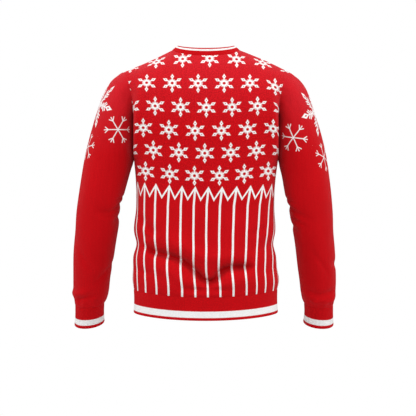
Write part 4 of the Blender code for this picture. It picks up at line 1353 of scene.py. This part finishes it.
def ribbed(grid, drawn):
    """A band's outer and inner points, with ribs on both and its folded edge rounded."""
    normals = normals_of(grid, True)
    turn = np.arange(grid.shape[1]) * 2 * math.pi / RIB_COLUMNS
    ribs = RIB_RISE * np.cos(turn)[None, :] * (1 - RIB_FADE * drawn)[:, None]
    inset = 0.5 * RIB * drawn[:, None] * MOST_DRAWN
    outer = grid + normals * (ribs - inset)[..., None]
    inner = grid - normals * (RIB + ribs - inset)[..., None]
    return outer, inner


def band_maps(grid, shares):
    """A band's maps: metres round it and along it, and shares from its seam to its edge."""
    _, run = closed_run(grid[0])
    along = runs_of(grid, 0).mean(axis=1)
    around, down = np.meshgrid(run, along)
    share = np.meshgrid(run, shares)[1]
    return {"cloth": np.stack([around, down], axis=-1), "band": np.stack([around, share], axis=-1)}


def add_band(name, grid, shares, drawn, stripe, from_seam_up):
    """A closed ribbed band; grid runs from its seam to its edge."""
    maps = band_maps(grid, shares)
    if not from_seam_up:
        grid, drawn = grid[::-1], drawn[::-1]
        maps = {label: values[::-1] for label, values in maps.items()}
    outer, inner = ribbed(grid, drawn)
    materials = [rib_material(name, stripe), rib_material(name + "_inside", NO_STRIPE)]
    return wall(name, outer, inner, True, maps, materials)


def add_neckband(back, front):
    """Cuts both panels' necklines and stands the neckband on them."""
    count = 2 * NECK_COLUMNS * COLUMN_CUTS
    start = SHOULDER_COLUMNS * COLUMN_CUTS
    neck = slice(start, start + count + 1)
    line = np.concatenate([back.outer[-1][neck], front.outer[-1][neck][1:-1]])
    line_normals = np.concatenate([back.normals[-1][neck], front.normals[-1][neck][1:-1]])
    rough = neckband_points(line, np.linspace(0, 1, 4))
    seam = unit(line_normals + normals_of(rough, True)[0])
    rim = seam_inner(line, seam, line_normals, CLOTH)
    back.inner[-1][neck] = rim[: count + 1]
    front.inner[-1][neck] = np.concatenate([rim[count:], rim[:1]])
    shares, drawn = band_shares(NECKBAND_HEIGHT)
    grid = neckband_points(spaced(line, NECK_RIBS * RIB_COLUMNS), shares)
    return add_band("neckband", grid, shares, drawn, NECK_STRIPE, True)


def armhole_loop(back, front, share, back_low, front_low):
    """Values round an armhole, up the back from the underarm and down the front; share is 1 for +X."""
    behind = back[back_low:, -1 if share > 0 else 0]
    before = front[front_low:, 0 if share > 0 else -1]
    return np.concatenate([behind, before[::-1][1:-1]])


def sleeve_lift(grid, turn, girths, along, folds):
    """How far a sleeve's folds, waves and seams raise each of its points; turn is in degrees round it."""
    drop = grid.mean(axis=1)[:, 2:]
    girth = girths.mean()
    lift = np.zeros(grid.shape[:2])
    for wrap in (-360.0, 0.0, 360.0):
        points = np.stack(np.broadcast_arrays((turn + wrap) / 360.0 * girth, drop), axis=-1)
        for fold in folds:
            path = [(degrees / 360.0 * girth, height) for degrees, height in fold.path]
            lift = lift + fold_lift(points, [fold._replace(path=path)])
    swell, rise = SLEEVE_SPREAD
    angle = np.radians(turn)
    lift = lift + SLEEVE_WAVES * soft_waves(swell * np.cos(angle), drop + rise * np.sin(angle))
    lift = lift + gathers(turn / 360.0 * CUFF_WAVES * CUFF_GATHERS[2], along, CUFF_GATHERS)
    gaps = (along, along[-1] - along)
    for gap, fade in zip(gaps, SLEEVE_FADES):
        lift = lift * smoothstep(gap / fade)
    seam_gap = np.minimum(turn, 360.0 - turn) / 360.0 * girths[:, None] + LEAST_SEAM
    return lift + seam_roll(np.minimum.reduce((*gaps, seam_gap)))


def folded_sleeve(rings, loop, folds):
    """A sleeve's outer points on the +X side with its folds, from its cuff seam up, and its map in metres."""
    grid = sleeve_points(rings, loop, SLEEVE_ROWS * SLEEVE_CUTS)[::-1]
    count = grid.shape[1]
    turn = np.arange(count)[None, :] * 360.0 / count
    girths = np.linalg.norm(grid - np.roll(grid, 1, axis=1), axis=-1).sum(axis=1)
    along = runs_of(grid, 0)
    lift = sleeve_lift(grid, turn, girths, along, folds)
    around = (turn - 180.0) / 360.0 * girths[:, None]
    closed = np.concatenate([around, -around[:, :1]], axis=1)
    return grid + normals_of(grid, True) * lift[..., None], np.stack([closed, closed_map(along)], axis=-1)


def cuff_grid(rings, count, shares):
    """A cuff's outer points on the +X side, from its seam to its edge."""
    return np.array([ring_points(ring, count) for ring in rings_between(rings, shares * (len(rings) - 1))])


def closed_map(grid_map):
    return np.concatenate([grid_map, grid_map[:, :1]], axis=1)


def add_sleeve(back, front, share, side, rings, cuff_rings, folds, motifs):
    """Cuts both panels at one armhole, hangs the sleeve there and puts the cuff on it."""
    flip = np.array([share, 1, 1])
    loop, plain, normals = (
        armhole_loop(getattr(back, label), getattr(front, label), share, back.low, front.low) * flip
        for label in ("outer", "plain", "normals")
    )
    half = len(loop) // 2
    edges = (-1, 0) if share > 0 else (0, -1)
    for at, back_row, front_row in ((0, back.low, front.low), (half, -1, -1)):
        pair = back.normals[back_row, edges[0]] + front.normals[front_row, edges[1]]
        normals[at] = pair * flip / np.linalg.norm(pair)
    sleeve, metres = folded_sleeve(rings, plain, folds)
    sleeve[..., 1] += tuck_shift(metres[-1, :-1, 1] - metres[:, :-1, 1], plain, False)
    sleeve_normals = normals_of(sleeve, True)
    seam = unit(normals + sleeve_normals[-1])
    rim = seam_inner(loop, seam, normals, CLOTH)
    back.inner[back.low :, edges[0]] = rim[: half + 1] * flip
    front.inner[front.low :, edges[1]] = np.concatenate([rim[half:], rim[:1]])[::-1] * flip
    gap = closed_seam(loop, seam, sleeve[-2] - sleeve[-1])
    inner = sleeve - CLOTH * sleeve_normals
    inner[-1] = rim + gap
    sleeve[-1] = sleeve[-1] + gap
    ornate = closed_map(motif_map(sleeve, motifs, "ornate"))
    sticks = closed_map(motif_map(sleeve, motifs, "stick"))
    maps = {"cloth": metres, "ornate": ornate, "sticks": sticks}
    shares, drawn = band_shares(CUFF_HEIGHT)
    cuff = cuff_grid(cuff_rings, CUFF_RIBS * RIB_COLUMNS, shares)
    if share < 0:
        sleeve, inner, cuff = mirrored(sleeve), mirrored(inner), mirrored(cuff)
        maps = {label: values[:, ::-1] for label, values in maps.items()}
    name = f"sleeve_{side}"
    materials = [sleeve_material(name), sleeve_material(name + "_inside", True)]
    arm = wall(name, sleeve, inner, True, maps, materials)
    band = add_band(f"cuff_{side}", cuff, shares, drawn, CUFF_STRIPE, False)
    return arm, band


def add_hem_band():
    """Hangs the hem band under the panels."""
    shares, drawn = band_shares(HEM_HEIGHT)
    at = np.linspace(-1, 1, HEM_RIBS * RIB_COLUMNS // 2 + 1)
    rows = []
    for section in sections_at(HEM, HEM[0].side_z + shares * (HEM[-1].side_z - HEM[0].side_z)):
        behind = section_row(section, -1, at)
        before = section_row(section, 1, at[::-1])
        rows.append(np.concatenate([behind, before[1:-1]]))
    return add_band("hem_band", np.array(rows), shares, drawn, HEM_STRIPE, False)


def add_panel(panel):
    """Draws a panel back half a gap at its side and shoulder seams, and makes it."""
    step = np.array([0, panel.side * SEAM_GAP / 2, 0])
    for points in (panel.outer, panel.inner):
        points[: panel.low + 1, 0] += step
        points[: panel.low + 1, -1] += step
        points[-1][panel.beyond_neck] += step
    materials = [body_material(panel.name), body_material(panel.name + "_inside", True)]
    return wall(panel.name, panel.outer, panel.inner, False, panel.maps, materials)


def add_camera():
    camera = bpy.data.cameras.new("camera")
    camera.sensor_width = SENSOR
    camera.lens = SENSOR * abs(CAMERA[1]) / (PIXELS * PIXEL)
    camera.clip_end = CLIP_END
    seat = bpy.data.objects.new("camera", camera)
    seat.location = CAMERA
    seat.rotation_euler = (math.pi / 2, 0.0, 0.0)
    bpy.context.scene.collection.objects.link(seat)
    bpy.context.scene.camera = seat


def add_light(name, place, target, size, power):
    """A soft square light that faces its target."""
    light = bpy.data.lights.new(name, "AREA")
    light.size = size
    light.energy = power
    seat = bpy.data.objects.new(name, light)
    seat.location = place
    away = np.array(place) - np.array(target)
    across = math.hypot(away[0], away[1])
    seat.rotation_euler = (math.atan2(across, away[2]), 0.0, math.atan2(away[0], -away[1]))
    bpy.context.scene.collection.objects.link(seat)


def add_surroundings():
    """White to the camera, and a dimmer white light on the garment."""
    world = bpy.data.worlds.new("studio")
    bpy.context.scene.world = world
    world.use_nodes = True
    tree = world.node_tree
    seen = new_node(tree, "Background", {"Color": WHITE_LIGHT, "Strength": 1.0})
    fill = new_node(tree, "Background", {"Color": WHITE_LIGHT, "Strength": FILL})
    ray = new_node(tree, "LightPath", {}).outputs["Is Camera Ray"]
    mix = new_node(tree, "MixShader", {0: ray, 1: fill.outputs[0], 2: seen.outputs[0]})
    feed(tree, tree.nodes["World Output"].inputs["Surface"], mix.outputs[0])


def add_floor():
    mesh = bpy.data.meshes.new("floor")
    around = np.arange(FLOOR_CORNERS) * 2 * math.pi / FLOOR_CORNERS
    rim = [(FLOOR_RADIUS * math.cos(a), FLOOR_RADIUS * math.sin(a), FLOOR_Z) for a in around]
    mesh.from_pydata(rim, [], [list(range(FLOOR_CORNERS))])
    floor = bpy.data.objects.new("floor", mesh)
    bpy.context.scene.collection.objects.link(floor)
    paint = bpy.data.materials.new("floor")
    paint.use_nodes = True
    shader = paint.node_tree.nodes["Principled BSDF"]
    shader.inputs["Base Color"].default_value = FLOOR_COLOUR
    shader.inputs["Roughness"].default_value = FLOOR_ROUGHNESS
    mesh.materials.append(paint)


def add_studio():
    """Plain pale floor, white surroundings and soft lights."""
    bpy.context.scene.view_settings.view_transform = "Standard"
    bpy.context.scene.view_settings.look = "None"
    add_surroundings()
    for light in LIGHTS:
        add_light(*light)
    add_floor()


def build():
    """Makes every piece, hides the part that each stands in for, and sets up the studio."""
    add_camera()
    back = make_panel("back_panel", -1, [section.back_rows for section in BODY[:UNDERARM]], BACK_FOLDS)
    front = make_panel("front_panel", 1, [section.front_rows for section in BODY[:UNDERARM]], FRONT_FOLDS)
    join_shoulders(back, front)
    neckband = add_neckband(back, front)
    right = add_sleeve(back, front, 1, "right", RIGHT_SLEEVE, RIGHT_CUFF, RIGHT_FOLDS, RIGHT_MOTIFS)
    left = add_sleeve(back, front, -1, "left", LEFT_SLEEVE, LEFT_CUFF, LEFT_FOLDS, LEFT_MOTIFS)
    hem = add_hem_band()
    panels = [add_panel(back), add_panel(front)]
    for piece in (*panels, neckband, hem, *right, *left):
        node = piece.name.removesuffix("_cloth")
        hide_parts(node)
    add_studio()


build()
